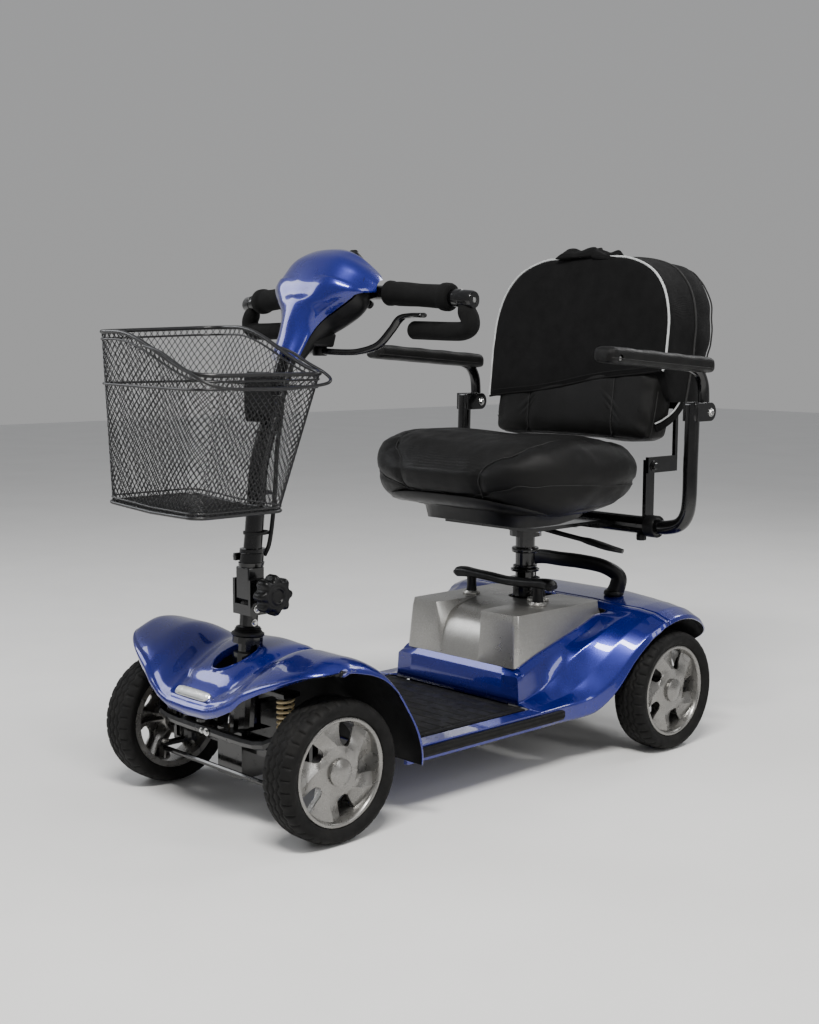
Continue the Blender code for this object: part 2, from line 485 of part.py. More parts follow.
# ---------------------------------------------------------------- tiller
fx, fy, fz = FOLD
union("steer_post", [
    cyl(on_steer(.128), on_steer(.316), .0142, 12),
    cyl(on_steer(.2545), on_steer(.2640), .0230, 12),
    boxm((-.0215, fy - .0165, .300), (-.0165, fy + .0165, .352)),
    boxm((.0165, fy - .0165, .300), (.0215, fy + .0165, .352)),
    boxm((-.0215, fy - .0165, .298), (.0215, fy + .0165, .314)),
], BLACK, origin=HEAD_BASE, cuts=[cyl((-.03, fy, fz), (.03, fy, fz), .0050, 12)])
tp = [(0, fy, .3230), (0, -.3525, .370), (0, -.3475, .410), (0, -.3440, .445), (0, -.3395, .495), (0, -.3350, .525), (0, -.3240, .560),
      (0, -.3080, .605), (0, -.2820, .678), (0, -.2640, .706)]
union("tiller_tube", [tube(tp, TILL_R, 12),
                      boxm((-.0158, fy - .0150, .3205), (.0158, fy + .0150, .3700)),
                      boxm((-.020, -.3296, .5950), (.020, -.3020, .6250))], BLACK, origin=FOLD, smooth=40,
      cuts=[cyl((-.03, fy, fz), (.03, fy, fz), .0050, 12)])
def star(r, k, n=21, lobes=7):
    return [(r + k * math.cos(lobes * 2 * math.pi * i / n), 2 * math.pi * i / n) for i in range(n)]
rings = []
for x, r, k in ((.0400, .012, 0), (.0420, .022, .001), (.0470, .0285, .002), (.0620, .0290, .002), (.0680, .0250, .0015), (.0700, .012, 0)):
    rings.append([(x, fy + q * math.cos(a), fz + q * math.sin(a)) for q, a in star(r, k)])
union("star_knob", [loft(rings), cyl((-.0290, fy, fz), (.045, fy, fz), .0045, 10),
                    cyl((-.0290, fy, fz), (-.0222, fy, fz), .0085, 6),
                    cyl((.0222, fy, fz), (.0410, fy, fz), .0115, 12)], PLAST, origin=FOLD)

# head cover: rings across the neck, widening into two wings
HN0 = Vector((0, -.2830, .676)); HD = Vector((0, .515, .857)).normalized(); HE = Vector((0, -.857, .515)).normalized()
HEAD = [(0, .0275, .021, .0), (.030, .029, .024, .002), (.055, .033, .030, .004), (.075, .050, .038, .006), (.092, .076, .044, .008),
        (.108, .094, .046, .010), (.124, .096, .045, .010), (.145, .088, .042, .008), (.165, .068, .035, .004), (.183, .042, .022, 0), (.192, .020, .010, 0)]
def head_ring(s, wx, ef, eb, front=True, n=12):
    c = HN0 + HD * s; out = []
    for k in range(n + 1):
        a = math.pi * k / n
        out.append(c + Vector((wx * math.cos(a), 0, 0)) + HE * (ef * math.sin(a) ** .9))
    for k in range(1, n // 2):
        a = math.pi * k / (n // 2)
        out.append(c + Vector((-wx * math.cos(a), 0, 0)) - HE * (eb * math.sin(a)))
    return out
rings = [head_ring(s, w, f, .001 + b * .1) for s, w, f, b in HEAD]
head = obj("head_cover", *loft(rings), BLUE, smooth=50)
cutter("cut_head", tube([(0, -.3080, .605), (0, -.2820, .678), (0, -.2640, .706), (0, -.2450, .7360)], .0152, 14), head)
def head_under(s, wx, eb, n=10):
    c = HN0 + HD * s - HE * .0035; out = []
    for k in range(n + 1):
        a = math.pi * k / n
        out.append(c + Vector((wx * math.cos(a), 0, 0)) - HE * (eb * math.sin(a)))
    return out
UND = [(.012, .024, .020), (.045, .028, .030), (.070, .040, .045), (.092, .066, .056), (.112, .088, .062), (.132, .092, .064), (.152, .088, .062), (.175, .070, .055), (.195, .045, .045)]
under = obj("head_base", *loft([head_under(*r) for r in UND]), PLAST, smooth=50)
cutter("cut_base", tube([(0, -.3080, .605), (0, -.2820, .678), (0, -.2640, .706), (0, -.2450, .7360)], .0152, 14), under)
hb = smooth_path([(-.266, -.151, .7655), (-.22, -.1565, .7700), (-.10, -.1700, .7780), (0, -.1740, .7800), (.10, -.1700, .7780), (.22, -.1565, .7700), (.266, -.151, .7655)], 15)
for t in (head, under):
    cutter("cut_bar_" + t.name, tube(hb, .0120, 12), t)
obj("handlebar", *tube(hb, .0110, 10), BLACK, smooth=50)
def along(p0, p1, prof, seg=14):
    p0 = Vector(p0); p1 = Vector(p1); d = p1 - p0
    return turned([(r, h * d.length) for r, h in prof], seg, p0, d, closed=True)
def barp(x):
    ax = abs(x); y = float(np.interp(ax, [0, .1, .22, .266], [-.174, -.170, -.1565, -.151])); z = float(np.interp(ax, [0, .1, .22, .266], [.780, .778, .770, .7655]))
    return Vector((x, y, z))
for s, nm in ((1, "L"), (-1, "R")):
    P = [barp(s * x) for x in (.104, .130, .160, .190, .214, .226)]
    g = tube(P, [.0185, .0185, .0172, .0178, .0190, .0185], 14)
    go = obj("grip_" + nm, *g, FOAM, smooth=50)
    cutter("cut_grip_" + nm, tube(hb, .0118, 12), go)
    lp = smooth_path([(s * .2480, -.1530, .7440), (s * .2600, -.1520, .7320), (s * .2560, -.1520, .7230), (s * .2350, -.1520, .7205), (s * .18, -.1500, .7215), (s * .133, -.1460, .7225)], 10)
    lo = union("guard_loop_" + nm, [tube(lp, [.0100] + [.0140] * 9, 12),
                                    cyl((s * .2450, -.1540, .7680), (s * .2480, -.1530, .7400), .0090, 10)], FOAM)
    cutter("cut_loop_" + nm, tube(hb, .0118, 12), lo)

# lever, key, dial and horn on the head
wp = [(.045, -.1960, .6880), (.085, -.172, .700), (.103, -.162, .722), (.1165, -.156, .7410), (.135, -.150, .7445), (.158, -.147, .7445)]
wp = [(-x, y, z) for x, y, z in wp[::-1]] + [(0, -.2165, .6900)] + wp
obj("throttle_lever", *tube(smooth_path(wp, 21), [.0040] * 5 + [.0048] * 11 + [.0040] * 5, 6), PLAST, origin=(0, -.2165, .690), smooth=50)
k0 = HN0 + HD * .1955 - HE * .030
obj("ignition_key", *loft([[k0 + HD * h + Vector((w * x, 0, 0)) + HE * (t * y) for x, y in ((-1, -1), (1, -1), (1, 1), (-1, 1))]
                           for h, w, t in ((.0006, .003, .0012), (.006, .003, .0012), (.0075, .010, .0025), (.018, .011, .0025), (.021, .007, .0025))]), PLAST)
bn = -HE
d0 = HN0 + HD * .148 - HE * .0685
obj("speed_dial", *turned([(.011, 0), (.011, .006), (.009, .008)], 16, d0, bn, closed=False), PLAST, smooth=40)
h0 = HN0 + HD * .140 - HE * .0640 + Vector((.045, 0, 0))
obj("horn_button", *turned([(.0065, 0), (.0065, .005), (.005, .0065)], 14, h0, bn, closed=False), PLAST, smooth=40)

# ---------------------------------------------------------------- basket
def bask_z(x, y):
    """Rim height: high on the far side, low on the near side."""
    t = sstep(-.085, .135, x)
    return lerp(.7225, .6600, t) + .004 * (y + .42) / .11 * (1 - t)
def bask_ring(k, d):
    out = []
    cy = lerp(-.450, -.420, k); rx = lerp(.110, .1355, k) - d; ry = lerp(.078, .1085, k) - d
    for x, y in sup(0, cy, rx, ry, 28, 6.0):
        zt = bask_z(x, y)
        out.append((x, y, lerp(.4640, zt, k)))
    return out
outer = [bask_ring(k, 0) for k in (0, .5, 1)]
inner = [bask_ring(k, .0030) for k in (1, .5, 0)]
inner[-1] = [(x, y, z + .0030) for x, y, z in inner[-1]]
basket = obj("basket", *loft(outer + inner), BLACK, smooth=50)
BP = [(0, -.5345, .6985), (.040, -.5345, .6900), (.085, -.5345, .6720), (.125, -.5330, .6560), (.1450, -.5200, .6460), (.1500, -.4950, .6420),
      (.1500, -.4200, .6400), (.1500, -.3450, .6440), (.1440, -.3180, .6500), (.120, -.3080, .6600), (.080, -.3062, .6740), (.040, -.3062, .6900), (0, -.3062, .6985)]
obj("basket_handle", *tube(BP, .0024, 6), BLACK, origin=(0, -.42, .6985))
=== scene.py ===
# Mobility scooter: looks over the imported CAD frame. Metres, +Z up, scooter faces -Y.
import bpy, bmesh, math, random
import numpy as np
from mathutils import Vector, Matrix, noise
from mathutils.bvhtree import BVHTree


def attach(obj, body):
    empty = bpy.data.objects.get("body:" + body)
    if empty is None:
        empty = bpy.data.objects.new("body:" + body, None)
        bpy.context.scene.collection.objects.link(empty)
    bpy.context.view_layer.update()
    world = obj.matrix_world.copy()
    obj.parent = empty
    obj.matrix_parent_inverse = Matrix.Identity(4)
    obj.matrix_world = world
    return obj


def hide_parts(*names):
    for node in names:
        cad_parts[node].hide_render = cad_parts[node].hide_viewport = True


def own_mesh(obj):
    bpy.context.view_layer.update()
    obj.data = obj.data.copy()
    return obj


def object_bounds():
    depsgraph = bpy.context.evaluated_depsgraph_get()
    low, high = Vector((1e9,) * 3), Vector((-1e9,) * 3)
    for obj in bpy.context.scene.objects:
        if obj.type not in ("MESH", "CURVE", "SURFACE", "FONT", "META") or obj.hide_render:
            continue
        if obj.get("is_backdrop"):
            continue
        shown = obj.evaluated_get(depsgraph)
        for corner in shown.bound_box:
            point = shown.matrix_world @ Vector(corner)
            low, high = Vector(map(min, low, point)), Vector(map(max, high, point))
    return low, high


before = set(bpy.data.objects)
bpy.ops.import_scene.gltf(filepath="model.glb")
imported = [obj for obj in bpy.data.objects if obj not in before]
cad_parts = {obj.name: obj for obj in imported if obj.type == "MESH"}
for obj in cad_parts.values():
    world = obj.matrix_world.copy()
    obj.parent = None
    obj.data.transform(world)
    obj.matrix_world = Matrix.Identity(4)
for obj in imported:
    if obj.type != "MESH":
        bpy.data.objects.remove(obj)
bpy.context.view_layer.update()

SH = -0.0154                     # shapes are laid out about the axle midpoint, then shifted
random.seed(7)
D = bpy.data

# ---------------------------------------------------------------- camera
cam = D.objects.new("camera", D.cameras.new("camera"))
bpy.context.scene.collection.objects.link(cam)
R_ = Vector((0.68968, 0.72410, 0.00418)); U_ = Vector((-0.08984, 0.07984, 0.99275)); F_ = Vector((-0.71852, 0.68505, -0.12012))
cam.matrix_world = Matrix(((R_.x, U_.x, -F_.x, 1.7045), (R_.y, U_.y, -F_.y, -1.6493 + SH), (R_.z, U_.z, -F_.z, 0.7100), (0, 0, 0, 1)))
cam.data.lens = 50.41; cam.data.sensor_width = 36; cam.data.sensor_fit = 'AUTO'
bpy.context.scene.camera = cam

# ---------------------------------------------------------------- materials
def material(name, base, rough=.5, metal=0.0, var=.18, vscale=14.0, bump=.12, bscale=700.0, bdist=.0004, coat=0.0, coat_rough=.04,
             rvar=.12, kind="noise", sheen=0.0, spec=.5, flake=0.0, base2=None, cells=900.0, dust=0.0, dustcol=(.22, .20, .17), grain=0.0, period=.0009):
    m = D.materials.new(name); m.use_nodes = True
    nt = m.node_tree; N = nt.nodes; L = nt.links
    b = N.get("Principled BSDF")
    b.inputs["Metallic"].default_value = metal
    b.inputs["Coat Weight"].default_value = coat
    b.inputs["Coat Roughness"].default_value = coat_rough
    b.inputs["Sheen Weight"].default_value = sheen
    b.inputs["Sheen Roughness"].default_value = .5
    b.inputs["Specular IOR Level"].default_value = spec
    tc = N.new("ShaderNodeTexCoord")
    def tex(scale, detail=4.0, rough_=.55):
        t = N.new("ShaderNodeTexNoise"); t.inputs["Scale"].default_value = scale
        t.inputs["Detail"].default_value = detail; t.inputs["Roughness"].default_value = rough_
        L.new(tc.outputs["Object"], t.inputs["Vector"]); return t
    def rng(sock, a, c, lo=.3, hi=.7):
        r = N.new("ShaderNodeMapRange"); r.inputs["From Min"].default_value = lo; r.inputs["From Max"].default_value = hi
        r.inputs["To Min"].default_value = a; r.inputs["To Max"].default_value = c
        L.new(sock, r.inputs["Value"]); return r.outputs["Result"]
    big = tex(vscale)
    ramp = N.new("ShaderNodeValToRGB")
    c0 = [max(c * (1 - var), 0) for c in base]; c1 = [min(c * (1 + var), 1) for c in (base2 or base)]
    ramp.color_ramp.elements[0].position = .32; ramp.color_ramp.elements[0].color = (*c0, 1)
    ramp.color_ramp.elements[1].position = .70; ramp.color_ramp.elements[1].color = (*c1, 1)
    L.new(big.outputs["Fac"], ramp.inputs["Fac"])
    col = ramp.outputs["Color"]
    if flake:
        v = N.new("ShaderNodeTexVoronoi"); v.inputs["Scale"].default_value = 1400.0
        L.new(tc.outputs["Object"], v.inputs["Vector"])
        mx = N.new("ShaderNodeMix"); mx.data_type = 'RGBA'; mx.blend_type = 'MIX'
        sep = N.new("ShaderNodeSeparateColor"); L.new(v.outputs["Color"], sep.inputs["Color"])
        L.new(rng(sep.outputs["Red"], 0, flake, .55, 1.0), mx.inputs["Factor"])
        L.new(col, mx.inputs["A"])
        rr = N.new("ShaderNodeValToRGB"); rr.color_ramp.elements[0].color = (*[min(c * 1.5 + .01, 1) for c in base], 1)
        rr.color_ramp.elements[1].color = (*[min(c * 2.6 + .05, 1) for c in base], 1)
        L.new(sep.outputs["Green"], rr.inputs["Fac"]); L.new(rr.outputs["Color"], mx.inputs["B"])
        col = mx.outputs["Result"]
    if grain:
        g = tex(420.0, 2.0)
        mg = N.new("ShaderNodeMix"); mg.data_type = 'RGBA'; mg.blend_type = 'MULTIPLY'
        mg.inputs["Factor"].default_value = grain
        rg = N.new("ShaderNodeValToRGB"); rg.color_ramp.elements[0].position = .35; rg.color_ramp.elements[0].color = (.45, .45, .45, 1)
        rg.color_ramp.elements[1].position = .65; rg.color_ramp.elements[1].color = (1, 1, 1, 1)
        L.new(g.outputs["Fac"], rg.inputs["Fac"]); L.new(col, mg.inputs["A"]); L.new(rg.outputs["Color"], mg.inputs["B"])
        col = mg.outputs["Result"]
    if dust:
        geo = N.new("ShaderNodeNewGeometry"); sx = N.new("ShaderNodeSeparateXYZ"); L.new(geo.outputs["Normal"], sx.inputs["Vector"])
        dn = tex(38.0, 5.0)
        up = rng(sx.outputs["Z"], .25, 1.0, -.2, .9)
        mm = N.new("ShaderNodeMath"); mm.operation = 'MULTIPLY'; L.new(rng(dn.outputs["Fac"], 0, dust, .42, .72), mm.inputs[0]); L.new(up, mm.inputs[1])
        md = N.new("ShaderNodeMix"); md.data_type = 'RGBA'; L.new(mm.outputs["Value"], md.inputs["Factor"])
        L.new(col, md.inputs["A"])
        rd = N.new("ShaderNodeValToRGB"); rd.color_ramp.elements[0].color = (*[c * .8 for c in dustcol], 1); rd.color_ramp.elements[1].color = (*dustcol, 1)
        L.new(dn.outputs["Fac"], rd.inputs["Fac"]); L.new(rd.outputs["Color"], md.inputs["B"])
        col = md.outputs["Result"]
    L.new(col, b.inputs["Base Color"])
    rn = tex(vscale * 3.3, 6.0)
    L.new(rng(rn.outputs["Fac"], max(rough - rvar, .02), min(rough + rvar, 1)), b.inputs["Roughness"])
    h = None
    if kind == "noise":
        h = tex(bscale, 3.0).outputs["Fac"]
    elif kind == "leather":
        v = N.new("ShaderNodeTexVoronoi"); v.feature = 'DISTANCE_TO_EDGE'; v.inputs["Scale"].default_value = cells
        L.new(tc.outputs["Object"], v.inputs["Vector"])
        ad = N.new("ShaderNodeMath"); ad.operation = 'ADD'
        L.new(rng(v.outputs["Distance"], 0, 1, 0, .18), ad.inputs[0])
        L.new(rng(tex(bscale, 4.0).outputs["Fac"], 0, .5), ad.inputs[1]); h = ad.outputs["Value"]
    elif kind in ("weave", "rib", "perf"):
        ws = []
        for axis in ('X', 'Z', 'Y'):
            w = N.new("ShaderNodeTexWave"); w.wave_type = 'BANDS'; w.bands_direction = axis; w.wave_profile = 'SIN'
            w.inputs["Scale"].default_value = 2 * math.pi / (20 * period); w.inputs["Distortion"].default_value = .6
            w.inputs["Detail"].default_value = 1.0; w.inputs["Detail Scale"].default_value = .2
            L.new(tc.outputs["Object"], w.inputs["Vector"]); ws.append(w.outputs["Fac"])
        a = N.new("ShaderNodeMath"); a.operation = 'MULTIPLY' if kind == "perf" else 'ADD'
        L.new(ws[0], a.inputs[0]); L.new(ws[1 if kind == "weave" else 2], a.inputs[1]); h = a.outputs["Value"]
        if kind == "rib": h = ws[0]
    if kind in ("cell",):
        v = N.new("ShaderNodeTexVoronoi"); v.inputs["Scale"].default_value = cells
        L.new(tc.outputs["Object"], v.inputs["Vector"]); h = v.outputs["Distance"]
    bp = N.new("ShaderNodeBump"); bp.inputs["Strength"].default_value = bump; bp.inputs["Distance"].default_value = bdist
    L.new(h, bp.inputs["Height"])
    b2 = N.new("ShaderNodeBump"); b2.inputs["Strength"].default_value = .15; b2.inputs["Distance"].default_value = .0015
    L.new(tex(vscale * 2.2, 2.0).outputs["Fac"], b2.inputs["Height"]); L.new(b2.outputs["Normal"], bp.inputs["Normal"])
    L.new(bp.outputs["Normal"], b.inputs["Normal"])
    return m

BLUE = material("paint_blue", (.0004, .0042, .150), .27, .50, var=.10, vscale=5, bump=.02, bscale=260, bdist=.0002, coat=1.0, coat_rough=.03, rvar=.05, flake=.30, base2=(.0006, .0064, .185))
SILVER = material("paint_silver", (.300, .295, .280), .30, .78, var=.06, vscale=6, bump=.05, bscale=1500, bdist=.0002, coat=.25, coat_rough=.22, rvar=.05, flake=.30, dust=.12)
RIMS = material("wheel_silver", (.215, .210, .200), .30, .80, var=.10, vscale=30, bump=.06, bscale=1200, coat=.35, coat_rough=.18, rvar=.08, flake=.2, dust=.2, dustcol=(.20, .18, .15))
BLACKP = material("gloss_black_paint", (.0020, .0020, .0023), .22, 0, var=.3, vscale=20, bump=.05, bscale=500, bdist=.0002, coat=.6, coat_rough=.08, rvar=.08, dust=.05, dustcol=(.05, .048, .045), spec=.28)
PLAST = material("moulded_black_plastic", (.0032, .0032, .0035), .40, 0, var=.25, vscale=24, bump=.25, bscale=1700, bdist=.0002, rvar=.08, dust=.05, dustcol=(.05, .048, .045), spec=.28)
TYRE = material("tyre_rubber", (.0045, .0044, .0043), .72, 0, var=.35, vscale=26, bump=.3, bscale=1100, bdist=.0003, rvar=.1, spec=.20, dust=.16, dustcol=(.050, .046, .040))
RUBBER = material("mat_rubber", (.0035, .0035, .0035), .56, 0, var=.3, vscale=18, bump=.35, bscale=1500, bdist=.0003, rvar=.12, dust=.14, dustcol=(.045, .043, .040), spec=.20)
FOAM = material("foam_grip", (.0032, .0032, .0032), .92, 0, var=.25, vscale=40, bump=.5, kind="cell", cells=1500, bdist=.0004, rvar=.05, spec=.20, sheen=0)
LEATHER = material("black_leather", (.0036, .0035, .0034), .46, 0, var=.22, vscale=11, bump=.40, kind="leather", cells=850, bscale=420, bdist=.0003, rvar=.10, spec=.20, dust=.03, dustcol=(.03, .029, .028))
PERF = material("ribbed_leather", (.0044, .0043, .0042), .52, 0, var=.22, vscale=11, bump=.6, kind="perf", period=.0035, bdist=.0005, rvar=.08, dust=.03, dustcol=(.03, .029, .028), spec=.20)
NYLON = material("bag_nylon", (.0022, .0022, .0024), .90, 0, var=.30, vscale=16, bump=.55, kind="weave", period=.0011, bdist=.0004, rvar=.06, spec=.20, sheen=0, dust=.05, dustcol=(.045, .043, .04))
PIPE = material("reflective_piping", (.46, .47, .47), .48, .1, var=.10, vscale=60, bump=.4, kind="weave", period=.0012, bdist=.0003, rvar=.08)
THREAD = material("seam_thread", (.010, .010, .010), .8, 0, var=.3, vscale=90, bump=.5, kind="weave", period=.0016, bdist=.0003)
STEEL = material("bright_steel", (.55, .55, .54), .26, 1.0, var=.12, vscale=80, bump=.08, bscale=900, rvar=.1)
ZINC = material("zinc_washer", (.50, .49, .46), .34, .8, var=.15, vscale=60, bump=.12, bscale=700, rvar=.1)
CREAM = material("spring_cream", (.62, .50, .28), .36, 0, var=.12, vscale=50, bump=.1, bscale=800, coat=.3, dust=.2)
DARK = material("dark_wire", (.0045, .0045, .0050), .38, .1, var=.3, vscale=60, bump=.12, bscale=1300, coat=.2, rvar=.1)
ORANGE = material("signal_orange", (.70, .17, .02), .5, 0, var=.12, vscale=50, bump=.2, bscale=1300)
REFL = material("lamp_reflector", (.62, .63, .63), .18, .85, var=.08, vscale=60, bump=.1, kind="rib", period=.0045, bdist=.0008)
def lens():
    m = material("lamp_lens", (.72, .74, .75), .08, 0, var=.04, vscale=40, bump=.5, kind="rib", period=.004, bdist=.0008, rvar=.03, coat=.6)
    b = m.node_tree.nodes.get("Principled BSDF"); b.inputs["Transmission Weight"].default_value = .35
    return m
LENS = lens()
NODE_MATS = {}

# ---------------------------------------------------------------- helpers
def lerp(a, b, t): return a + (b - a) * t
def sstep(a, b, x):
    t = min(max((x - a) / (b - a), 0), 1); return t * t * (3 - 2 * t)
def table(T, x): return float(np.interp(x, [t[0] for t in T], [t[1] for t in T]))
def gauss(x, s): return math.exp(-(x / s) ** 2)

def piece(name, V, F, mats, body, rep=(), slot=None, smooth=45, bevel=None, sub=0, recalc=True, merge=True, origin=None, mi=None, bang=35):
    me = D.meshes.new(name)
    me.from_pydata([(v[0], v[1] + SH, v[2]) for v in V], [], F); me.update()
    mats = mats if isinstance(mats, (list, tuple)) else [mats]
    for m in mats: me.materials.append(m)
    if mi is not None:
        me.polygons.foreach_set("material_index", mi)
    bm = bmesh.new(); bm.from_mesh(me)
    if merge: bmesh.ops.remove_doubles(bm, verts=bm.verts, dist=1e-6)
    if recalc: bmesh.ops.recalc_face_normals(bm, faces=bm.faces)
    bm.to_mesh(me); bm.free()
    me.shade_smooth()
    if smooth is not None: me.set_sharp_from_angle(angle=math.radians(smooth))
    o = D.objects.new(name, me); bpy.context.scene.collection.objects.link(o)
    if bevel:
        b = o.modifiers.new("edges", 'BEVEL'); b.width = bevel; b.segments = 3; b.limit_method = 'ANGLE'; b.angle_limit = math.radians(bang)
        b.harden_normals = False
    if sub:
        s = o.modifiers.new("sub", 'SUBSURF'); s.levels = sub; s.render_levels = sub
    if body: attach(o, body)
    if rep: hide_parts(*rep)
    return o

def loft(rings, cap=True, closed=False):
    n = len(rings[0]); V = [p for r in rings for p in r]; F = []
    m = len(rings)
    for i in range(m if closed else m - 1):
        i2 = (i + 1) % m
        for j in range(n):
            k = (j + 1) % n
            F.append((i * n + j, i * n + k, i2 * n + k, i2 * n + j))
    if cap and not closed:
        F.append(tuple(range(n - 1, -1, -1)))
        F.append(tuple((m - 1) * n + j for j in range(n)))
    return V, F

def grid(cols):
    n = len(cols[0]); V = [p for c in cols for p in c]; F = []
    for i in range(len(cols) - 1):
        for j in range(n - 1):
            F.append((i * n + j, (i + 1) * n + j, (i + 1) * n + j + 1, i * n + j + 1))
    return V, F

def join(*parts):
    V, F = [], []
    for v, f in parts:
        k = len(V); V += list(v); F += [tuple(i + k for i in q) for q in f]
    return V, F

def frames(pts):
    pts = [Vector(p) for p in pts]; T = []
    for i in range(len(pts)):
        a = pts[max(i - 1, 0)]; b = pts[min(i + 1, len(pts) - 1)]
        T.append((b - a).normalized())
    up = Vector((0, 0, 1)) if abs(T[0].z) < .9 else Vector((1, 0, 0))
    n = (up - T[0] * up.dot(T[0])).normalized(); out = []
    for i, t in enumerate(T):
        if i:
            ax = T[i - 1].cross(t)
            if ax.length > 1e-9: n = Matrix.Rotation(T[i - 1].angle(t), 3, ax.normalized()) @ n
        out.append((pts[i], t, n, t.cross(n)))
    return out

def tube(pts, r, seg=20, sx=1.0, cap=True):
    R = r if isinstance(r, (list, tuple)) else [r] * len(pts)
    rings = []
    for (p, t, n, b), q in zip(frames(pts), R):
        rings.append([p + n * (q * math.cos(a)) + b * (q * sx * math.sin(a)) for a in (2 * math.pi * (k + .5) / seg for k in range(seg))])
    return loft(rings, cap)

def path(pts, n):
    P = [Vector(p) for p in pts]; P = [P[0] * 2 - P[1]] + P + [P[-1] * 2 - P[-2]]
    out = []; m = len(P) - 3
    for i in range(n):
        s = i / (n - 1) * m; k = min(int(s), m - 1); t = s - k
        a, b, c, d = P[k:k + 4]
        out.append(.5 * (2 * b + (c - a) * t + (2 * a - 5 * b + 4 * c - d) * t * t + (3 * b - a - 3 * c + d) * t ** 3))
    return out

def turned(profile, seg, centre, axis, closed=True):
    c = Vector(centre); ax = Vector(axis).normalized()
    u = Vector((0, 0, 1)) if abs(ax.x) > .9 else ax.orthogonal().normalized()
    w = ax.cross(u); m = len(profile); V = []; F = []
    for k in range(seg):
        a = 2 * math.pi * (k + .5) / seg; d = u * math.cos(a) + w * math.sin(a)
        V += [c + d * r + ax * h for r, h in profile]
    for k in range(seg):
        k2 = (k + 1) % seg
        for j in range(m if closed else m - 1):
            j2 = (j + 1) % m
            F.append((k * m + j, k2 * m + j, k2 * m + j2, k * m + j2))
    if not closed:
        F.append(tuple(k * m for k in range(seg))); F.append(tuple(k * m + m - 1 for k in range(seg - 1, -1, -1)))
    return V, F

def bolt(p, axis, r=.0045, h=.003, kind="hex"):
    """A washer and a hex or button head standing on p along axis."""
    a = Vector(axis).normalized(); p = Vector(p)
    w = turned([(0.0004, 0), (r * 1.5, 0), (r * 1.5, .0008), (r * 1.45, .0011), (0.0004, .0011)], 20, p, a, closed=False)
    if kind == "hex":
        hd = turned([(0.0003, .0011), (r, .0011), (r, h), (r * .86, h + .0007), (0.0003, h + .0007)], 6, p, a, closed=False)
    else:
        hd = turned([(0.0003, .0011), (r, .0011), (r * .95, h * .6), (r * .7, h * .92), (r * .42, h), (r * .40, h * .55), (.0003, h * .55)], 20, p, a, closed=False)
    return join(w, hd)

def boxm(lo, hi):
    x0, y0, z0 = lo; x1, y1, z1 = hi
    V = [(x0, y0, z0), (x1, y0, z0), (x1, y1, z0), (x0, y1, z0), (x0, y0, z1), (x1, y0, z1), (x1, y1, z1), (x0, y1, z1)]
    return V, [(3, 2, 1, 0), (4, 5, 6, 7), (0, 1, 5, 4), (1, 2, 6, 5), (2, 3, 7, 6), (3, 0, 4, 7)]

def apply_all(o):
    dg = bpy.context.evaluated_depsgraph_get()
    me = D.meshes.new_from_object(o.evaluated_get(dg), preserve_all_data_layers=True, depsgraph=dg)
    o.modifiers.clear(); o.data = me
    return o

def cut(o, m, name="cut", op='DIFFERENCE'):
    me = D.meshes.new(name); me.from_pydata([(v[0], v[1] + SH, v[2]) for v in m[0]], [], m[1]); me.update()
    bm = bmesh.new(); bm.from_mesh(me); bmesh.ops.recalc_face_normals(bm, faces=bm.faces); bm.to_mesh(me); bm.free()
    c = D.objects.new(name, me); bpy.context.scene.collection.objects.link(c)
    b = o.modifiers.new("bool", 'BOOLEAN'); b.operation = op; b.solver = 'EXACT'; b.object = c
    apply_all(o); D.objects.remove(c, do_unlink=True)
    return o

def shell(o, t, off=-1, inner=None):
    m = o.modifiers.new("wall", 'SOLIDIFY'); m.thickness = t; m.offset = off; m.use_even_offset = False; m.use_rim = True
    if inner is not None: m.material_offset = inner; m.material_offset_rim = 0
    apply_all(o)
    return o

def punch(o, rho, lim=.2):
    """Opens a hole: rho(point) gives (radius ratio, centre); faces inside go, the rim is drawn to ratio 1."""
    bm = bmesh.new(); bm.from_mesh(o.data)
    val = {v: rho(v.co) for v in bm.verts}
    gone = [f for f in bm.faces if all(val[v][0] < 1.0 for v in f.verts)]
    edge = set()
    gs = set(gone)
    for f in gone:
        for e in f.edges:
            if any(g not in gs for g in e.link_faces): edge.update(e.verts)
    bmesh.ops.delete(bm, geom=gone, context='FACES')
    for v in edge:
        if not v.is_valid: continue
        r, put = val[v]; v.co = put(v.co, r)
    out = [v for v in bm.verts if v not in edge and .85 < val.get(v, (9,))[0] < 1.0]
    for v in out:
        r, put = val[v]; v.co = put(v.co, r)
    bm.to_mesh(o.data); bm.free()
    return o

def outward(o, inside):
    bm = bmesh.new(); bm.from_mesh(o.data); bm.normal_update()
    s = sum((f.calc_center_median() - Vector(inside)).dot(f.normal) * f.calc_area() for f in bm.faces)
    if s < 0: bmesh.ops.reverse_faces(bm, faces=bm.faces)
    bm.to_mesh(o.data); bm.free()

def node_mat(name, m, bevel=None):
    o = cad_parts[name]
    for i in range(max(len(o.data.materials), 1)):
        if i < len(o.material_slots): o.material_slots[i].link = 'OBJECT'; o.material_slots[i].material = m
    if not o.data.materials: o.data.materials.append(m)
    if bevel:
        b = o.modifiers.new("edges", 'BEVEL'); b.width = bevel; b.segments = 2; b.limit_method = 'ANGLE'; b.angle_limit = math.radians(40)

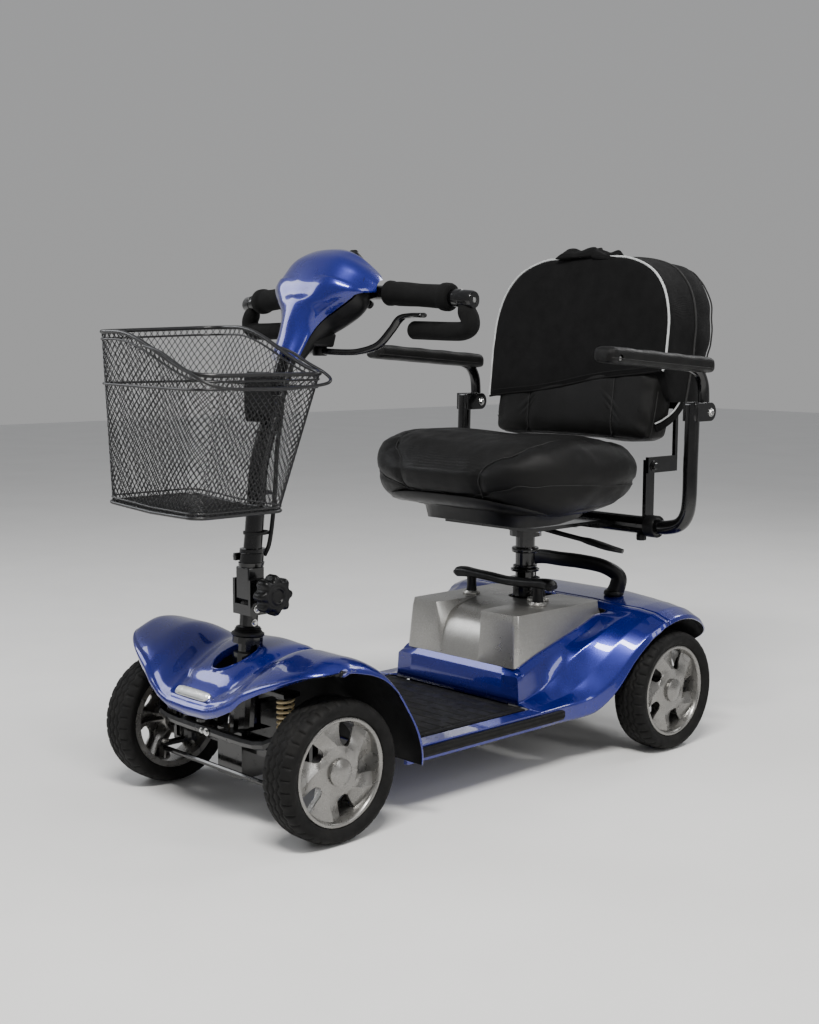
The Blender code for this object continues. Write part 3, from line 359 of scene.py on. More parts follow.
# ---------------------------------------------------------------- front cowl
AXLE_Y, COWL_X = .368, .238
LIP = [(0, .162), (.046, .164), (.072, .172), (.102, .186), (.12, .202), (.152, .218), (.176, .228), (.21, .243), (.232, .248), (.238, .249)]
CEN = [(-.472, .162), (-.477, .172), (-.470, .187), (-.455, .200), (-.435, .213), (-.410, .226), (-.382, .238), (-.352, .248), (-.322, .252),
       (-.296, .250), (-.276, .240), (-.262, .215), (-.254, .180), (-.250, .145), (-.248, .107)]
FEN = [(-.430, .222), (-.436, .229), (-.428, .240), (-.412, .251), (-.392, .261), (-.370, .266), (-.345, .264), (-.318, .255), (-.292, .239),
       (-.268, .213), (-.250, .185), (-.236, .160), (-.226, .135), (-.221, .110), (-.221, .088)]
def cowl_front(ax): return -.300 - .172 * max(1 - (ax / COWL_X) ** 3, 0) ** (1 / 3)
def cowl_column(x):
    ax = min(abs(x), COWL_X); w = sstep(.05, .145, ax)
    P = [Vector((x, lerp(c[0], f[0], w), lerp(c[1], f[1], w))) for c, f in zip(CEN, FEN)]
    dy = min(cowl_front(ax) - P[0].y, .078); dz = table(LIP, ax) - P[0].z
    s = max((ax - .198) / (COWL_X - .198), 0); drop = .020 * (1 - math.sqrt(max(1 - s * s, 0)))
    out = []
    for i, p in enumerate(P):
        k = max(1 - i / 6, 0) ** 1.4
        a = P[max(i - 1, 0)]; b = P[min(i + 1, len(P) - 1)]
        t = (b - a).normalized(); n = Vector((0, max(t.z, 0), -abs(t.y)))
        out.append(p + Vector((0, dy * k, dz * k)) + n * drop * sstep(0, 4, i))
    return out
NT = 127
def cowl_fine(x):
    C = path(cowl_column(x), NT); out = []; ax = abs(x)
    for i, p in enumerate(C):
        t = i / (NT - 1) * 14
        a = C[max(i - 1, 0)]; b = C[min(i + 1, NT - 1)]
        tg = (b - a).normalized(); n = Vector((0, -tg.z, tg.y))
        if n.z < -.2 and t < 1: n = Vector((0, -1, 0))
        d = 0.0
        # the band over the lip stands proud of the panel above it
        d += -.0022 * sstep(1.30, 1.62, t) * (1 - sstep(3.2, 6.0, t))
        # valleys between the nose and the fenders
        vx = lerp(.064, .088, sstep(3, 9, t))
        d += -.0060 * gauss(ax - vx, .020) * sstep(2.0, 4.0, t) * (1 - sstep(9.5, 11.5, t))
        d += .0026 * gauss(ax, .034) * sstep(4.2, 5.4, t) * (1 - sstep(9.0, 10.5, t))
        # lamp recess: a trapezoid whose lower edge is narrow
        hw = lerp(.044, .060, sstep(2.0, 4.4, t))
        inr = (1 - sstep(hw - .0022, hw + .0022, ax)) * sstep(1.98, 2.14, t) * (1 - sstep(3.7, 4.6, t))
        d += -.0042 * inr
        out.append(p + n * d)
    return out
xs = []
for i in range(85): xs.append(COWL_X * math.sin(math.pi / 2 * (i / 84)) if i > 56 else COWL_X * math.sin(math.pi / 2 * 56 / 84) * i / 56)
xs = [-x for x in xs[:0:-1]] + xs
V, F = grid([cowl_fine(x) for x in xs])
cowl = piece("cowl_shell", V, F, [BLUE, PLAST], "chassis", rep=["front_cowl"], slot="blue_body", smooth=55)
outward(cowl, (0, -.36 + SH, .15))
def pit_rho(c):
    if c.z < .19: return 9.0, None
    r = math.hypot(c.x / .030, (c.y - SH + .382) / .040)
    return r, lambda p, r: Vector((p.x / r, -.382 + SH + (p.y - SH + .382) / r, p.z)) if r > .3 else p
punch(cowl, pit_rho); shell(cowl, .003, inner=1)
def oval(cx, cy, rx, ry, z0, z1, n=48):
    return loft([[(cx + rx * math.cos(a), cy + ry * math.sin(a), z) for a in (2 * math.pi * k / n for k in range(n))] for z in (z0, z1)])
# rolled edge of the pit and its dark well
def pit_ring(rx, ry, dz, n=56):
    out = []
    for k in range(n):
        a = 2 * math.pi * k / n; x = rx * math.cos(a); y = -.382 + ry * math.sin(a)
        z = float(np.interp(y, [c[0] for c in CEN[2:9]], [c[1] for c in CEN[2:9]]))
        out.append((x, y, z + .0026 * gauss(x, .034) + dz))
    return out
piece("cowl_pit_rim", *loft([pit_ring(.0302, .0402, .0006), pit_ring(.0292, .0392, .0012), pit_ring(.0282, .0382, .0002), pit_ring(.0280, .0380, -.010), pit_ring(.0300, .0400, -.010)], closed=True),
      BLUE, "chassis", slot="blue_body", smooth=50)
piece("cowl_pit_well", *loft([pit_ring(.0284, .0384, -.004), pit_ring(.0270, .0365, -.028), pit_ring(.0268, .0363, -.030), pit_ring(.0292, .0392, -.006)], closed=True), PLAST, "chassis", smooth=50)
# lamp: reflector tray and ribbed lens
c0 = cowl_column(0); a0, b0 = c0[2], c0[3]; mid = (a0 + b0) / 2; td = (b0 - a0).normalized(); nr = Vector((0, -td.z, td.y))
def lamp_ring(d, sx, sz, n=40, p=5):
    out = []
    for k in range(n):
        a = 2 * math.pi * (k + .5) / n; c, s = math.cos(a), math.sin(a)
        cx = math.copysign(abs(c) ** (2 / p), c) * sx; cz = math.copysign(abs(s) ** (2 / p), s) * sz
        out.append(mid + nr * (d - .5 * (cx / .04) ** 2 * .0022) + Vector((cx, 0, 0)) + td * cz)
    return out
piece("lamp_tray", *loft([lamp_ring(-.0045, .0405, .0082), lamp_ring(.0002, .0405, .0082), lamp_ring(.0010, .0396, .0075), lamp_ring(-.0005, .0385, .0064), lamp_ring(-.0045, .0380, .0062)], closed=True), REFL, "chassis", slot="lens", smooth=40)
piece("lamp_back", *loft([lamp_ring(-.0048, .0390, .0070), lamp_ring(-.0030, .0390, .0070)]), REFL, "chassis", slot="lens", smooth=40)
V, F = [], []
nx, nz = 120, 12
cols = []
for i in range(nx + 1):
    u = -1 + 2 * i / nx; col = []
    for j in range(nz + 1):
        w = -1 + 2 * j / nz
        sx, sz = .0384 * u, .0064 * w
        edge = (1 - abs(u) ** 14) * (1 - abs(w) ** 4)
        rib = .00035 * math.cos(sx / .0044 * 2 * math.pi)
        col.append(mid + nr * (-.0012 + .0060 * edge ** .5 + rib * edge - .5 * (sx / .04) ** 2 * .0022) + Vector((sx, 0, 0)) + td * sz)
    cols.append(col)
V, F = grid(cols)
piece("lamp_lens", V, F, LENS, "chassis", rep=["headlamp_lens"], slot="lens", smooth=60)

# ---------------------------------------------------------------- deck
node_mat("deck_pan", BLUE, .0012)
cols = []
NXM, NYM = 150, 260
for i in range(NXM + 1):
    x = -.166 + .332 * i / NXM; col = []
    for j in range(NYM + 1):
        y = -.205 + .288 * j / NYM
        row = math.floor((y + .205) / .024); fy_ = (y + .205) / .024 - row
        ph = (x + .166 + (.047 if row % 2 else 0) + .013 * (row % 3)) / .094; fx_ = ph - math.floor(ph)
        g = gauss((fy_ - .5) * .024, .0019) * sstep(0, .035, fx_) * (1 - sstep(.86, .90, fx_))
        ed = max(abs(x) - .1640, 0) / .002; ey = max(abs(y + .061) - .1420, 0) / .002
        z = .1046 - .0016 * g - .0012 * min(ed + ey, 1) ** 2
        if abs(x) > .152 and abs(x) < .1560: z -= .0010
        col.append((x, y, z))
    cols.append(col)
top = grid(cols)
V, F = top; n1 = NYM + 1
V = list(V); base = len(V)
loop = [(i * n1) for i in range(NXM + 1)] + [NXM * n1 + j for j in range(1, n1)] + [i * n1 + NYM for i in range(NXM - 1, -1, -1)] + [j for j in range(NYM - 1, 0, -1)]
for q in loop: V.append((V[q][0], V[q][1], .0992))
m = len(loop)
for k in range(m): F.append((loop[k], base + k, base + (k + 1) % m, loop[(k + 1) % m]))
F.append(tuple(base + k for k in range(m)))
piece("deck_mat_ribbed", V, F, RUBBER, "chassis", rep=["deck_mat"], slot="black_rubber", smooth=35)
for s, nm in ((1, "L"), (-1, "R")):
    rings = []
    for i in range(61):
        y = -.198 + .340 * i / 60; e = .0035 * (1 - math.sqrt(max(1 - (max(abs(y + .028) - .160, 0) / .0101) ** 2, 0)))
        ring = []
        for x, z in ((.1995, .0835), (.2022, .0832), (.2046, .0846), (.2058, .0880), (.2050, .0900), (.2050, .0930), (.2058, .0950), (.2046, .0984), (.2022, .0998), (.1995, .0996)):
            zc = .0915; ring.append((s * (x - e * (x > .2)), y, zc + (z - zc) * (1 - e / .012)))
        rings.append(ring)
    piece("side_bumper_" + nm, *loft(rings), RUBBER, "chassis", rep=["side_strip_" + nm], slot="black_rubber", smooth=40)

# ---------------------------------------------------------------- rear body
REAR = [
    (.0866, [(0, .1050), (.10, .1050), (.1455, .1050), (.1475, .1048), (.172, .1046), (.1988, .1042), (.1990, .078)]),
    (.0875, [(0, .1515), (.10, .1515), (.1440, .1515), (.1475, .110), (.172, .1046), (.1988, .1042), (.1990, .078)]),
    (.0950, [(0, .1620), (.10, .1620), (.1442, .1545), (.1478, .1105), (.1725, .1046), (.1988, .1042), (.1990, .078)]),
    (.0990, [(0, .1630), (.10, .1630), (.1444, .1550), (.1480, .1108), (.1730, .1046), (.1988, .1042), (.1990, .078)]),
    (.1000, [(.130, .1640), (.135, .1640), (.1445, .1550), (.148, .111), (.173, .1046), (.1988, .1042), (.1990, .078)]),
    (.1440, [(.130, .1795), (.135, .1795), (.1445, .1700), (.152, .127), (.176, .109), (.1988, .1045), (.1990, .078)]),
    (.1800, [(.130, .1900), (.135, .1900), (.1450, .1805), (.160, .152), (.182, .120), (.2035, .106), (.2040, .079)]),
    (.2150, [(.130, .2005), (.135, .2005), (.1455, .1910), (.168, .180), (.192, .144), (.2130, .116), (.2145, .088)]),
    (.2450, [(.130, .2090), (.135, .2090), (.1460, .2000), (.178, .201), (.205, .174), (.2280, .143), (.2310, .120)]),
    (.2750, [(.130, .2180), (.135, .2180), (.1470, .2110), (.185, .218), (.215, .204), (.2400, .182), (.2440, .167)]),
    (.3050, [(.130, .2290), (.135, .2295), (.1480, .2295), (.190, .231), (.222, .223), (.2490, .210), (.2535, .200)]),
    (.3270, [(.130, .2355), (.135, .2360), (.1490, .2360), (.192, .238), (.226, .233), (.2535, .221), (.2575, .213)]),
    (.3350, [(0, .2470), (.090, .2465), (.1500, .2430), (.195, .242), (.229, .237), (.2555, .226), (.2595, .219)]),
    (.3450, [(0, .2480), (.090, .2475), (.1500, .2440), (.195, .244), (.230, .240), (.2570, .230), (.2610, .223)]),
]
TAIL = [
    (.3460, [(0, .2480), (.090, .2475), (.1500, .2440), (.195, .244), (.230, .240), (.2570, .230), (.2610, .223)]),
    (.3750, [(0, .2500), (.090, .2495), (.1500, .2465), (.195, .247), (.231, .244), (.2580, .235), (.2625, .229)]),
    (.4100, [(0, .2510), (.090, .2510), (.1500, .2480), (.195, .247), (.231, .243), (.2570, .233), (.2620, .227)]),
    (.4450, [(0, .2490), (.090, .2490), (.1500, .2440), (.195, .239), (.229, .232), (.2520, .221), (.2570, .214)]),
    (.4700, [(0, .2400), (.090, .2400), (.1500, .2320), (.195, .225), (.225, .216), (.2430, .205), (.2470, .198)]),
    (.4880, [(0, .2220), (.090, .2210), (.1500, .2120), (.190, .205), (.216, .197), (.2280, .188), (.2300, .183)]),
    (.4970, [(0, .1850), (.090, .1850), (.1400, .1820), (.170, .179), (.192, .176), (.2050, .173), (.2080, .170)]),
    (.4985, [(0, .1300), (.080, .1300), (.1300, .1320), (.155, .138), (.172, .146), (.1820, .156), (.1860, .160)]),
]
def row_fine(row, radii=(.25,) * 5, seg=4, straight=5):
    """One station's outline with its corners rounded, always the same point count."""
    P = [Vector((x, 0, z)) for x, z in row]; out = [P[0]]
    for i in range(1, len(P) - 1):
        f = radii[i - 1]
        A = P[i] + (P[i - 1] - P[i]) * f; B = P[i] + (P[i + 1] - P[i]) * f
        last = out[-1]
        for k in range(1, straight): out.append(last.lerp(A, k / straight))
        for k in range(seg + 1):
            t = k / seg; out.append(A * (1 - t) ** 2 + P[i] * 2 * t * (1 - t) + B * t * t)
    last = out[-1]
    for k in range(1, straight + 1): out.append(last.lerp(P[-1], k / straight))
    return out
def fine_stations(st, smooth_from, ys):
    """Stations interpolated along y; the first ones stay straight."""
    Y = [s[0] for s in st]; rows = []
    A = np.array([[(x, z) for x, z in s[1]] for s in st])
    for y in ys:
        if y <= st[smooth_from][0]:
            r = np.array([[np.interp(y, Y, A[:, k, c]) for c in (0, 1)] for k in range(7)])
        else:
            i = max(min(int(np.searchsorted(Y, y)) - 1, len(Y) - 2), 0); t = (y - Y[i]) / (Y[i + 1] - Y[i])
            i0 = max(i - 1, smooth_from); i3 = min(i + 2, len(Y) - 1)
            m1 = (A[i + 1] - A[i0]) / max(Y[i + 1] - Y[i0], 1e-9) * (Y[i + 1] - Y[i]); m2 = (A[i3] - A[i]) / max(Y[i3] - Y[i], 1e-9) * (Y[i + 1] - Y[i])
            r = (2 * t ** 3 - 3 * t ** 2 + 1) * A[i] + (t ** 3 - 2 * t ** 2 + t) * m1 + (-2 * t ** 3 + 3 * t ** 2) * A[i + 1] + (t ** 3 - t ** 2) * m2
        rows.append((y, [tuple(q) for q in r]))
    return rows
def body_mesh(rows, radii, ridge=None):
    cols = []
    for y, row in rows:
        R = row_fine(row, radii); c = []
        for k, p in enumerate(R):
            c.append(Vector((p.x, y, p.z)))
        cols.append(c)
    if ridge: ridge(cols)
    V, F = grid(cols); V2 = [Vector((-v.x, v.y, v.z)) for v in V]
    return V + V2, F + [tuple(len(V) + i for i in reversed(f)) for f in F]
ys = [.0866, .0869, .0875, .090, .0925, .095, .097, .0990, .1000] + [.1000 + (.3270 - .1) * i / 46 for i in range(1, 47)] + [.3295, .3325, .3350, .3400, .3450]
rad = (.14, .12, .07, .07, .12)
V, F = body_mesh(fine_stations(REAR, 4, ys), rad)
shroud = piece("rear_body", V, F, [BLUE, PLAST], "chassis", rep=["rear_shroud"], slot="blue_body", smooth=38)
outward(shroud, (0, .30 + SH, .1)); shell(shroud, .0025, inner=1)
ys = [.3460 + (.4985 - .3460) * (1 - (1 - i / 40) ** 1.5) for i in range(41)]
V, F = body_mesh(fine_stations(TAIL, 0, ys), rad)
tail = piece("rear_fender_cap", V, F, [BLUE, PLAST], "chassis", rep=["rear_cover"], slot="blue_body", smooth=45)
outward(tail, (0, .38 + SH, .1)); shell(tail, .0025, inner=1)

# ---------------------------------------------------------------- battery box
def edge_z(y): return .166 + .291 * (y - .087) - .0066
def corner(cx, cy, r, a0, n=7): return [(cx + r * math.cos(math.radians(a0 + 90 * k / (n - 1))), cy + r * math.sin(math.radians(a0 + 90 * k / (n - 1)))) for k in range(n)]
def cover_ring(zf, ins, lift):
    r = .010
    per = [(-.0285, .324)] + corner(-.132 + ins + r, .324 - r, r, 90) + corner(-.132 + ins + r, .0955 + ins + r, r, 180) \
        + corner(.132 - ins - r, .0955 + ins + r, r, 270) + corner(.132 - ins - r, .324 - r, r, 0) + [(.0285, .324)]
    slot_ = [(.0285, .262)] + [(.0285 * math.cos(a), .262 - .0275 * math.sin(a)) for a in (math.pi * k / 12 for k in range(1, 12))] + [(-.0285, .262)]
    return [(x, y, (zf(y) if callable(zf) else max(zf, edge_z(y) + lift))) for x, y in per + slot_]
rings = [cover_ring(edge_z, 0, 0), cover_ring(.2360, .0050, .0008), cover_ring(.2500, .0072, .0030)]
cover = piece("battery_cover_shell", *loft(rings), SILVER, None, smooth=None, recalc=True)
# scoop: from the front's lower edge, steep, then back over the top
prof = [(.0945, .1560), (.0990, .1760), (.1050, .1960), (.1130, .2130), (.1240, .2270), (.1400, .2375), (.1620, .2440), (.1900, .2485), (.2150, .2503)]
prof = [(p.y, p.z) for p in path([Vector((0, y, z)) for y, z in prof], 40)]
rings = []
for y, z in prof:
    w = sstep(.150, .26, z)
    xl0 = lerp(-.0445, -.0560, w); xr0 = lerp(.0462, .0400, w)          # floor
    rise = .275 - z
    rings.append([(xl0 - .0 , y, z), (xr0, y, z), (xr0 + .10 * rise * .25, y - .002, z + rise), (xl0 - rise * .28, y - .002, z + rise)])
rings = [[(p[0], .085, p[2]) for p in rings[0]]] + rings
cut(cover, loft(rings), "scoop")
cover.name = "battery_cover_shell"
bv = cover.modifiers.new("edges", 'BEVEL'); bv.width = .0042; bv.segments = 4; bv.limit_method = 'ANGLE'; bv.angle_limit = math.radians(26)
for mo in (0,):
    apply_all(cover)
cover.data.shade_smooth(); cover.data.set_sharp_from_angle(angle=math.radians(40))
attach(cover, "battery_box"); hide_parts("battery_cover")
piece("battery_cells", *boxm((-.100, .160, .1055), (.100, .229, .214)), PLAST, "battery_box", rep=["battery_pack"], slot="black_plastic", smooth=30, bevel=.006)
hp = path([(-.118, .207, .2860), (-.100, .2085, .2885), (-.080, .209, .2885), (-.04, .2125, .2865), (0, .2150, .2835), (.04, .2125, .2850), (.080, .209, .2885), (.100, .2085, .2895), (.118, .207, .2865)], 60)
R = []
rings = []
for i, (p, t, n, b) in enumerate(frames(hp)):
    u = abs(i / 59 * 2 - 1)
    rv = lerp(.0078, .0095, sstep(.35, .75, u)) * (1 - .55 * sstep(.88, 1.0, u)); rh = lerp(.0118, .0130, sstep(.45, .75, u)) * (1 - .35 * sstep(.90, 1.0, u))
    rings.append([p + n * (rv * math.copysign(abs(math.cos(a)) ** .8, math.cos(a))) + b * (rh * math.copysign(abs(math.sin(a)) ** .8, math.sin(a))) for a in (2 * math.pi * k / 28 for k in range(28))])
hm = loft(rings)
for s in (1, -1):
    hm = join(hm, turned([(.0003, .2560), (.0098, .2560), (.0088, .264), (.0084, .274), (.0092, .284), (.0003, .286)], 24, (s * .08, .209, 0), (0, 0, 1), closed=False))
piece("battery_grip", *hm, PLAST, "battery_box", rep=["battery_handle"], slot="black_plastic", smooth=50)
for s in (1, -1):
    piece("grip_washer_%s" % ("L" if s > 0 else "R"), *turned([(.0075, .2500), (.0150, .2500), (.0158, .2508), (.0158, .2532), (.0148, .2546), (.0125, .2550), (.0118, .2562), (.0075, .2562)], 40, (s * .08, .209, 0), (0, 0, 1)), ZINC, "battery_box", smooth=35)
piece("cover_washer", *turned([(.0070, .2500), (.0185, .2500), (.0195, .2508), (.0195, .2540), (.0180, .2555), (.0140, .2560), (.0130, .2575), (.0070, .2575)], 44, (.0475, .246, 0), (0, 0, 1)), ZINC, "battery_box", smooth=35)
piece("cover_boss", *turned([(.0003, .2560), (.0125, .2560), (.0135, .262), (.0120, .268), (.0003, .269)], 32, (.0475, .246, 0), (0, 0, 1), closed=False), PLAST, "battery_box", smooth=40)

# ---------------------------------------------------------------- rear handle
hp = path([(-.105, .392, .2525), (-.102, .390, .278), (-.085, .378, .298), (-.045, .366, .306), (0, .362, .307), (.045, .366, .307), (.088, .376, .302), (.1135, .388, .287), (.1120, .390, .268), (.106, .387, .2525)], 72)
rings = []
for i, (p, t, n, b) in enumerate(frames(hp)):
    u = abs(i / 71 * 2 - 1); rv = lerp(.0088, .0125, sstep(.30, .9, u)); rh = lerp(.0142, .0146, sstep(.3, .8, u))
    rings.append([p + n * (rh * math.copysign(abs(math.cos(a)) ** .75, math.cos(a))) + b * (rv * math.copysign(abs(math.sin(a)) ** .75, math.sin(a))) for a in (2 * math.pi * k / 32 for k in range(32))])
piece("rear_lift_handle", *loft(rings), PLAST, "chassis", rep=["rear_handle"], slot="black_plastic", smooth=55)
for x, yf in ((-.105, .392), (.106, .387)):
    piece("lift_foot_%s" % ("R" if x < 0 else "L"), *turned([(.0110, .2512), (.0175, .2512), (.0182, .2530), (.0176, .2575), (.0150, .2600), (.0110, .2605)], 36, (x, yf, 0), (0, 0, 1)), PLAST, "chassis", smooth=40)

# ---------------------------------------------------------------- wheels
def wheel_face():
    """Five blades, each two facets meeting on a ridge, with U-shaped openings between them; x is outward."""
    R_IN, R_C, R_O = .0370, .0480, .0714
    rs = [lerp(.0185, R_IN, i / 12) for i in range(12)] + [R_C - (R_C - R_IN) * math.cos(math.pi / 2 * i / 12) for i in range(12)] + [lerp(R_C, R_O, i / 24) for i in range(25)]
    V, F = [], []
    for q in range(5):
        cols = []
        for r in rs:
            if r <= R_IN: w = 0.0
            elif r < R_C: w = .0105 * math.sqrt(max(1 - ((R_C - r) / (R_C - R_IN)) ** 2, 0))
            else: w = .0105 + .0042 * (r - R_C) / (R_O - R_C)
            dl = math.asin(w / r); ur = lerp(.20, .66, sstep(.018, .072, r)); amp = .0088 * sstep(.021, .064, r)
            base = lerp(.0192, .0112, sstep(.019, .060, r)); col = []
            for u in [ur * k / 18 for k in range(19)] + [lerp(ur, 1, k / 18) for k in range(1, 19)]:
                a = -.10 + 2 * math.pi * q / 5 + dl + u * (2 * math.pi / 5 - 2 * dl) + .10 * sstep(.02, .07, r)
                tent = u / ur if u < ur else (1 - u) / (1 - ur)
                col.append((base + amp * tent, r * math.cos(a), r * math.sin(a)))
            cols.append(col)
        g = grid(cols); F += [tuple(len(V) + k for k in f) for f in g[1]]; V += list(g[0])
    return V, F
V, F = wheel_face()
wf = piece("wheel_face_tmp", [(v[0], v[1] - SH, v[2]) for v in V], F, RIMS, None, smooth=30)
outward(wf, (-1, 0, 0)); shell(wf, .0036)
bv = wf.modifiers.new("e", 'BEVEL'); bv.width = .0006; bv.segments = 2; bv.limit_method = 'ANGLE'; bv.angle_limit = math.radians(55); apply_all(wf)
def me_data(o):
    return [tuple(v.co) for v in o.data.vertices], [tuple(p.vertices) for p in o.data.polygons]
FACE = me_data(wf); D.objects.remove(wf, do_unlink=True)
ringp = [(.0700, -.0245), (.0792, -.0245), (.0792, .0232), (.0786, .0246), (.0770, .0252), (.0745, .0250), (.0732, .0240), (.0722, .0205), (.0712, .0160), (.0700, .0130), (.0690, .0050), (.0685, -.0100), (.0690, -.0200)]
drum = [(.0066, -.0190), (.0210, -.0190), (.0225, -.0175), (.0215, .0100), (.0205, .0150), (.0066, .0150)]
hubp = [(.0003, .0140), (.0188, .0140), (.0200, .0215), (.0196, .0238), (.0184, .0248), (.0170, .0252), (.0120, .0272), (.0060, .0288), (.0003, .0293)]
NTH, NW = 288, 64
def tyre_mesh():
    """Tread ring with zigzag grooves and shoulder sipes; the profile runs round the section."""
    prof = [(.0798, -.0245), (.0822, -.0268), (.0870, -.0297), (.0915, -.0310), (.0950, -.0308), (.0985, -.0290), (.1008, -.0262), (.1024, -.0220), (.1034, -.0170), (.1039, -.0115), (.1040, -.0055),
            (.1040, .0), (.1040, .0055), (.1039, .0115), (.1034, .0170), (.1024, .0220), (.1008, .0262), (.0985, .0290), (.0950, .0308), (.0915, .0310), (.0870, .0297), (.0822, .0268), (.0798, .0245)]
    P = path([Vector((h, r, 0)) for r, h in prof], NW); rows = []
    for k in range(NTH):
        a = 2 * math.pi * k / NTH; col = []
        pitch = (a * 36 / (2 * math.pi)) % 1.0; half = (a * 36 / (2 * math.pi) + .5) % 1.0
        zz = .0026 * (abs(pitch * 4 - 2) - 1)
        for p in P:
            h, r = p.x, p.y; d = 0.0
            if r > .0975:
                for c, s_ in ((-.0105, 1), (.0105, 1), (0, -1)):
                    d += .0024 * gauss(h - c - zz * s_, .0011)
                ah = abs(h)
                if ah > .0145:
                    ph = pitch if h > 0 else half
                    d += .0022 * gauss((ph - .5) * .018, .0013) * sstep(.0145, .0165, ah) * (1 - sstep(.0285, .0300, ah))
            if .0880 < r < .0965 and abs(h) > .028:
                d += -.0005 * gauss(r - .0925, .0012) - .0003 * gauss(r - .0890, .0008)
            d = min(d, .0026)
            rr = r - d * sstep(.092, .099, r)
            hh = h + (math.copysign(-d * .5, h) if .0880 < r < .0965 else 0)
            col.append((hh, rr * math.cos(a), rr * math.sin(a)))
        rows.append(col)
    V = [p for c in rows for p in c]; F = []; n = NW
    for k in range(NTH):
        k2 = (k + 1) % NTH
        for j in range(n - 1): F.append((k * n + j, k2 * n + j, k2 * n + j + 1, k * n + j + 1))
        F.append((k * n + n - 1, k2 * n + n - 1, k2 * n, k * n))
    return V, F
TY = tyre_mesh()
def star_back():
    """Ribs seen from the inner side."""
    m = ([], [])
    for q in range(10):
        a = -.10 + 2 * math.pi * (q // 2 + .5) / 5 + (.17 if q % 2 else -.17); w = .0014
        ring = []
        pts = [(.021, -.0160), (.045, -.0050), (.0695, -.0100), (.0695, .0070), (.045, .0070), (.021, .0120)]
        for sg in (-1, 1):
            ring.append([(h, r * math.cos(a) - sg * w * math.sin(a), r * math.sin(a) + sg * w * math.cos(a)) for r, h in pts])
        m = join(m, loft(ring))
    return m
SB = star_back()
def place(m, cx, cy, s):
    return [(cx + s * v[0], cy + v[1], .104 + v[2]) for v in m[0]], m[1]
for s, nm in ((1, "L"), (-1, "R")):
    for tag, X_, Y_ in (("front", .2005, -AXLE_Y), ("rear", .234, AXLE_Y)):
        body = "wheel_%s_%s" % (tag, nm); t = "%s_%s" % (tag, nm)
        cx = s * X_
        z0 = turned(ringp, 96, (0, 0, 0), (1, 0, 0)); z1 = turned(drum, 72, (0, 0, 0), (1, 0, 0)); z2 = turned(hubp, 60, (0, 0, 0), (1, 0, 0), closed=False)
        m = join(FACE, z0, z1, z2, SB)
        piece("rim_detail_" + t, *place(m, cx, Y_, s), RIMS, body, rep=["rim_" + t], slot="wheel_silver", smooth=38, merge=False, recalc=(True))
        piece("tyre_detail_" + t, *place(TY, cx, Y_, s), TYRE, body, rep=["tyre_" + t], slot="tyre", smooth=50)
        m = turned([(.0003, .0232), (.0052, .0232), (.0050, .0240), (.0003, .0242)], 6, (0, 0, 0), (1, 0, 0), closed=False)

# ---------------------------------------------------------------- front gear
for s, nm in ((1, "L"), (-1, "R")):
    turns = 8.5; n = 260; P = []
    for i in range(n):
        t = i / (n - 1); a = turns * 2 * math.pi * t
        P.append((s * .1 + .0118 * math.cos(a), -.368 + .0118 * math.sin(a), lerp(.1248, .1890, t)))
    o = piece("coil_spring_" + nm, *tube(P, .0021, 10), CREAM, "chassis", rep=["front_spring_" + nm], slot="spring_cream", smooth=60)
    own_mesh(o)
    d = piece("damper_rod_" + nm, *turned([(.0003, .1215), (.0052, .1215), (.0052, .155), (.0034, .1552), (.0034, .1912), (.0003, .1912)], 24, (s * .1, -.368, 0), (0, 0, 1), closed=False), BLACKP, "chassis", smooth=40)
    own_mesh(d)
    for z, r in ((.1892, .0150),):
        piece("spring_seat_%s" % nm, *turned([(.0003, z), (r, z), (r, z + .0020), (r * .8, z + .0026), (.0003, z + .0026)], 32, (s * .1, -.368, 0), (0, 0, 1), closed=False), BLACKP, "chassis", smooth=40)
    piece("kingpin_nut_" + nm, *bolt((s * .148, -AXLE_Y, .1336), (0, 0, 1), .0062, .0050), ZINC, "knuckle_" + nm, smooth=30)
    piece("tie_bolt_" + nm, *bolt((s * .147, -AXLE_Y - .045, .0801), (0, 0, 1), .0040, .0035), ZINC, "knuckle_" + nm, smooth=30)
    piece("bumper_bolt_" + nm, *bolt((s * .0, -.4375, .130), (0, -1, 0), .0040, .0030) if s > 0 else bolt((-.012, -.4375, .130), (0, -1, 0), .0030, .0025), STEEL, "chassis", smooth=30)
for n_ in ("main_frame", "transaxle", "seat_sleeve", "seat_frame", "back_frame", "front_arm_L", "front_arm_R", "kingpin_L", "kingpin_R", "seat_post", "steer_post", "tie_rod"):
    node_mat(n_, BLACKP, .0008)
node_mat("brake_release_lever", ORANGE, .001)

# ---------------------------------------------------------------- tiller
fy, fz = -.3545, .333
STEER_AX = Vector((0, .0785, .9969)).normalized(); steer0 = Vector((0, -.361, .250))
def on_steer(z): return steer0 + STEER_AX * ((z - steer0.z) / STEER_AX.z)
TP = [(0, -.3535, .352), (0, -.3525, .370), (0, -.3475, .410), (0, -.3440, .445), (0, -.3395, .495), (0, -.3350, .525), (0, -.3240, .560), (0, -.3080, .605), (0, -.2820, .678), (0, -.2640, .706)]
tm = tube(path(TP, 60), .01425, 28)
blk = [[(sx * .0158 * k, sy, z) for sx, sy in ((-1, fy - .0150 * k), (1, fy - .0150 * k), (1, fy + .0150 * k), (-1, fy + .0150 * k))] for z, k in ((.3205, 1), (.3700, 1))]
tt = piece("tiller_tube_main", *join(tm), BLACKP, "tiller", rep=["tiller_tube"], slot="black_paint", smooth=50)
piece("tiller_fork_block", *loft(blk), BLACKP, "tiller", slot="black_paint", smooth=30, bevel=.002)
rings = []
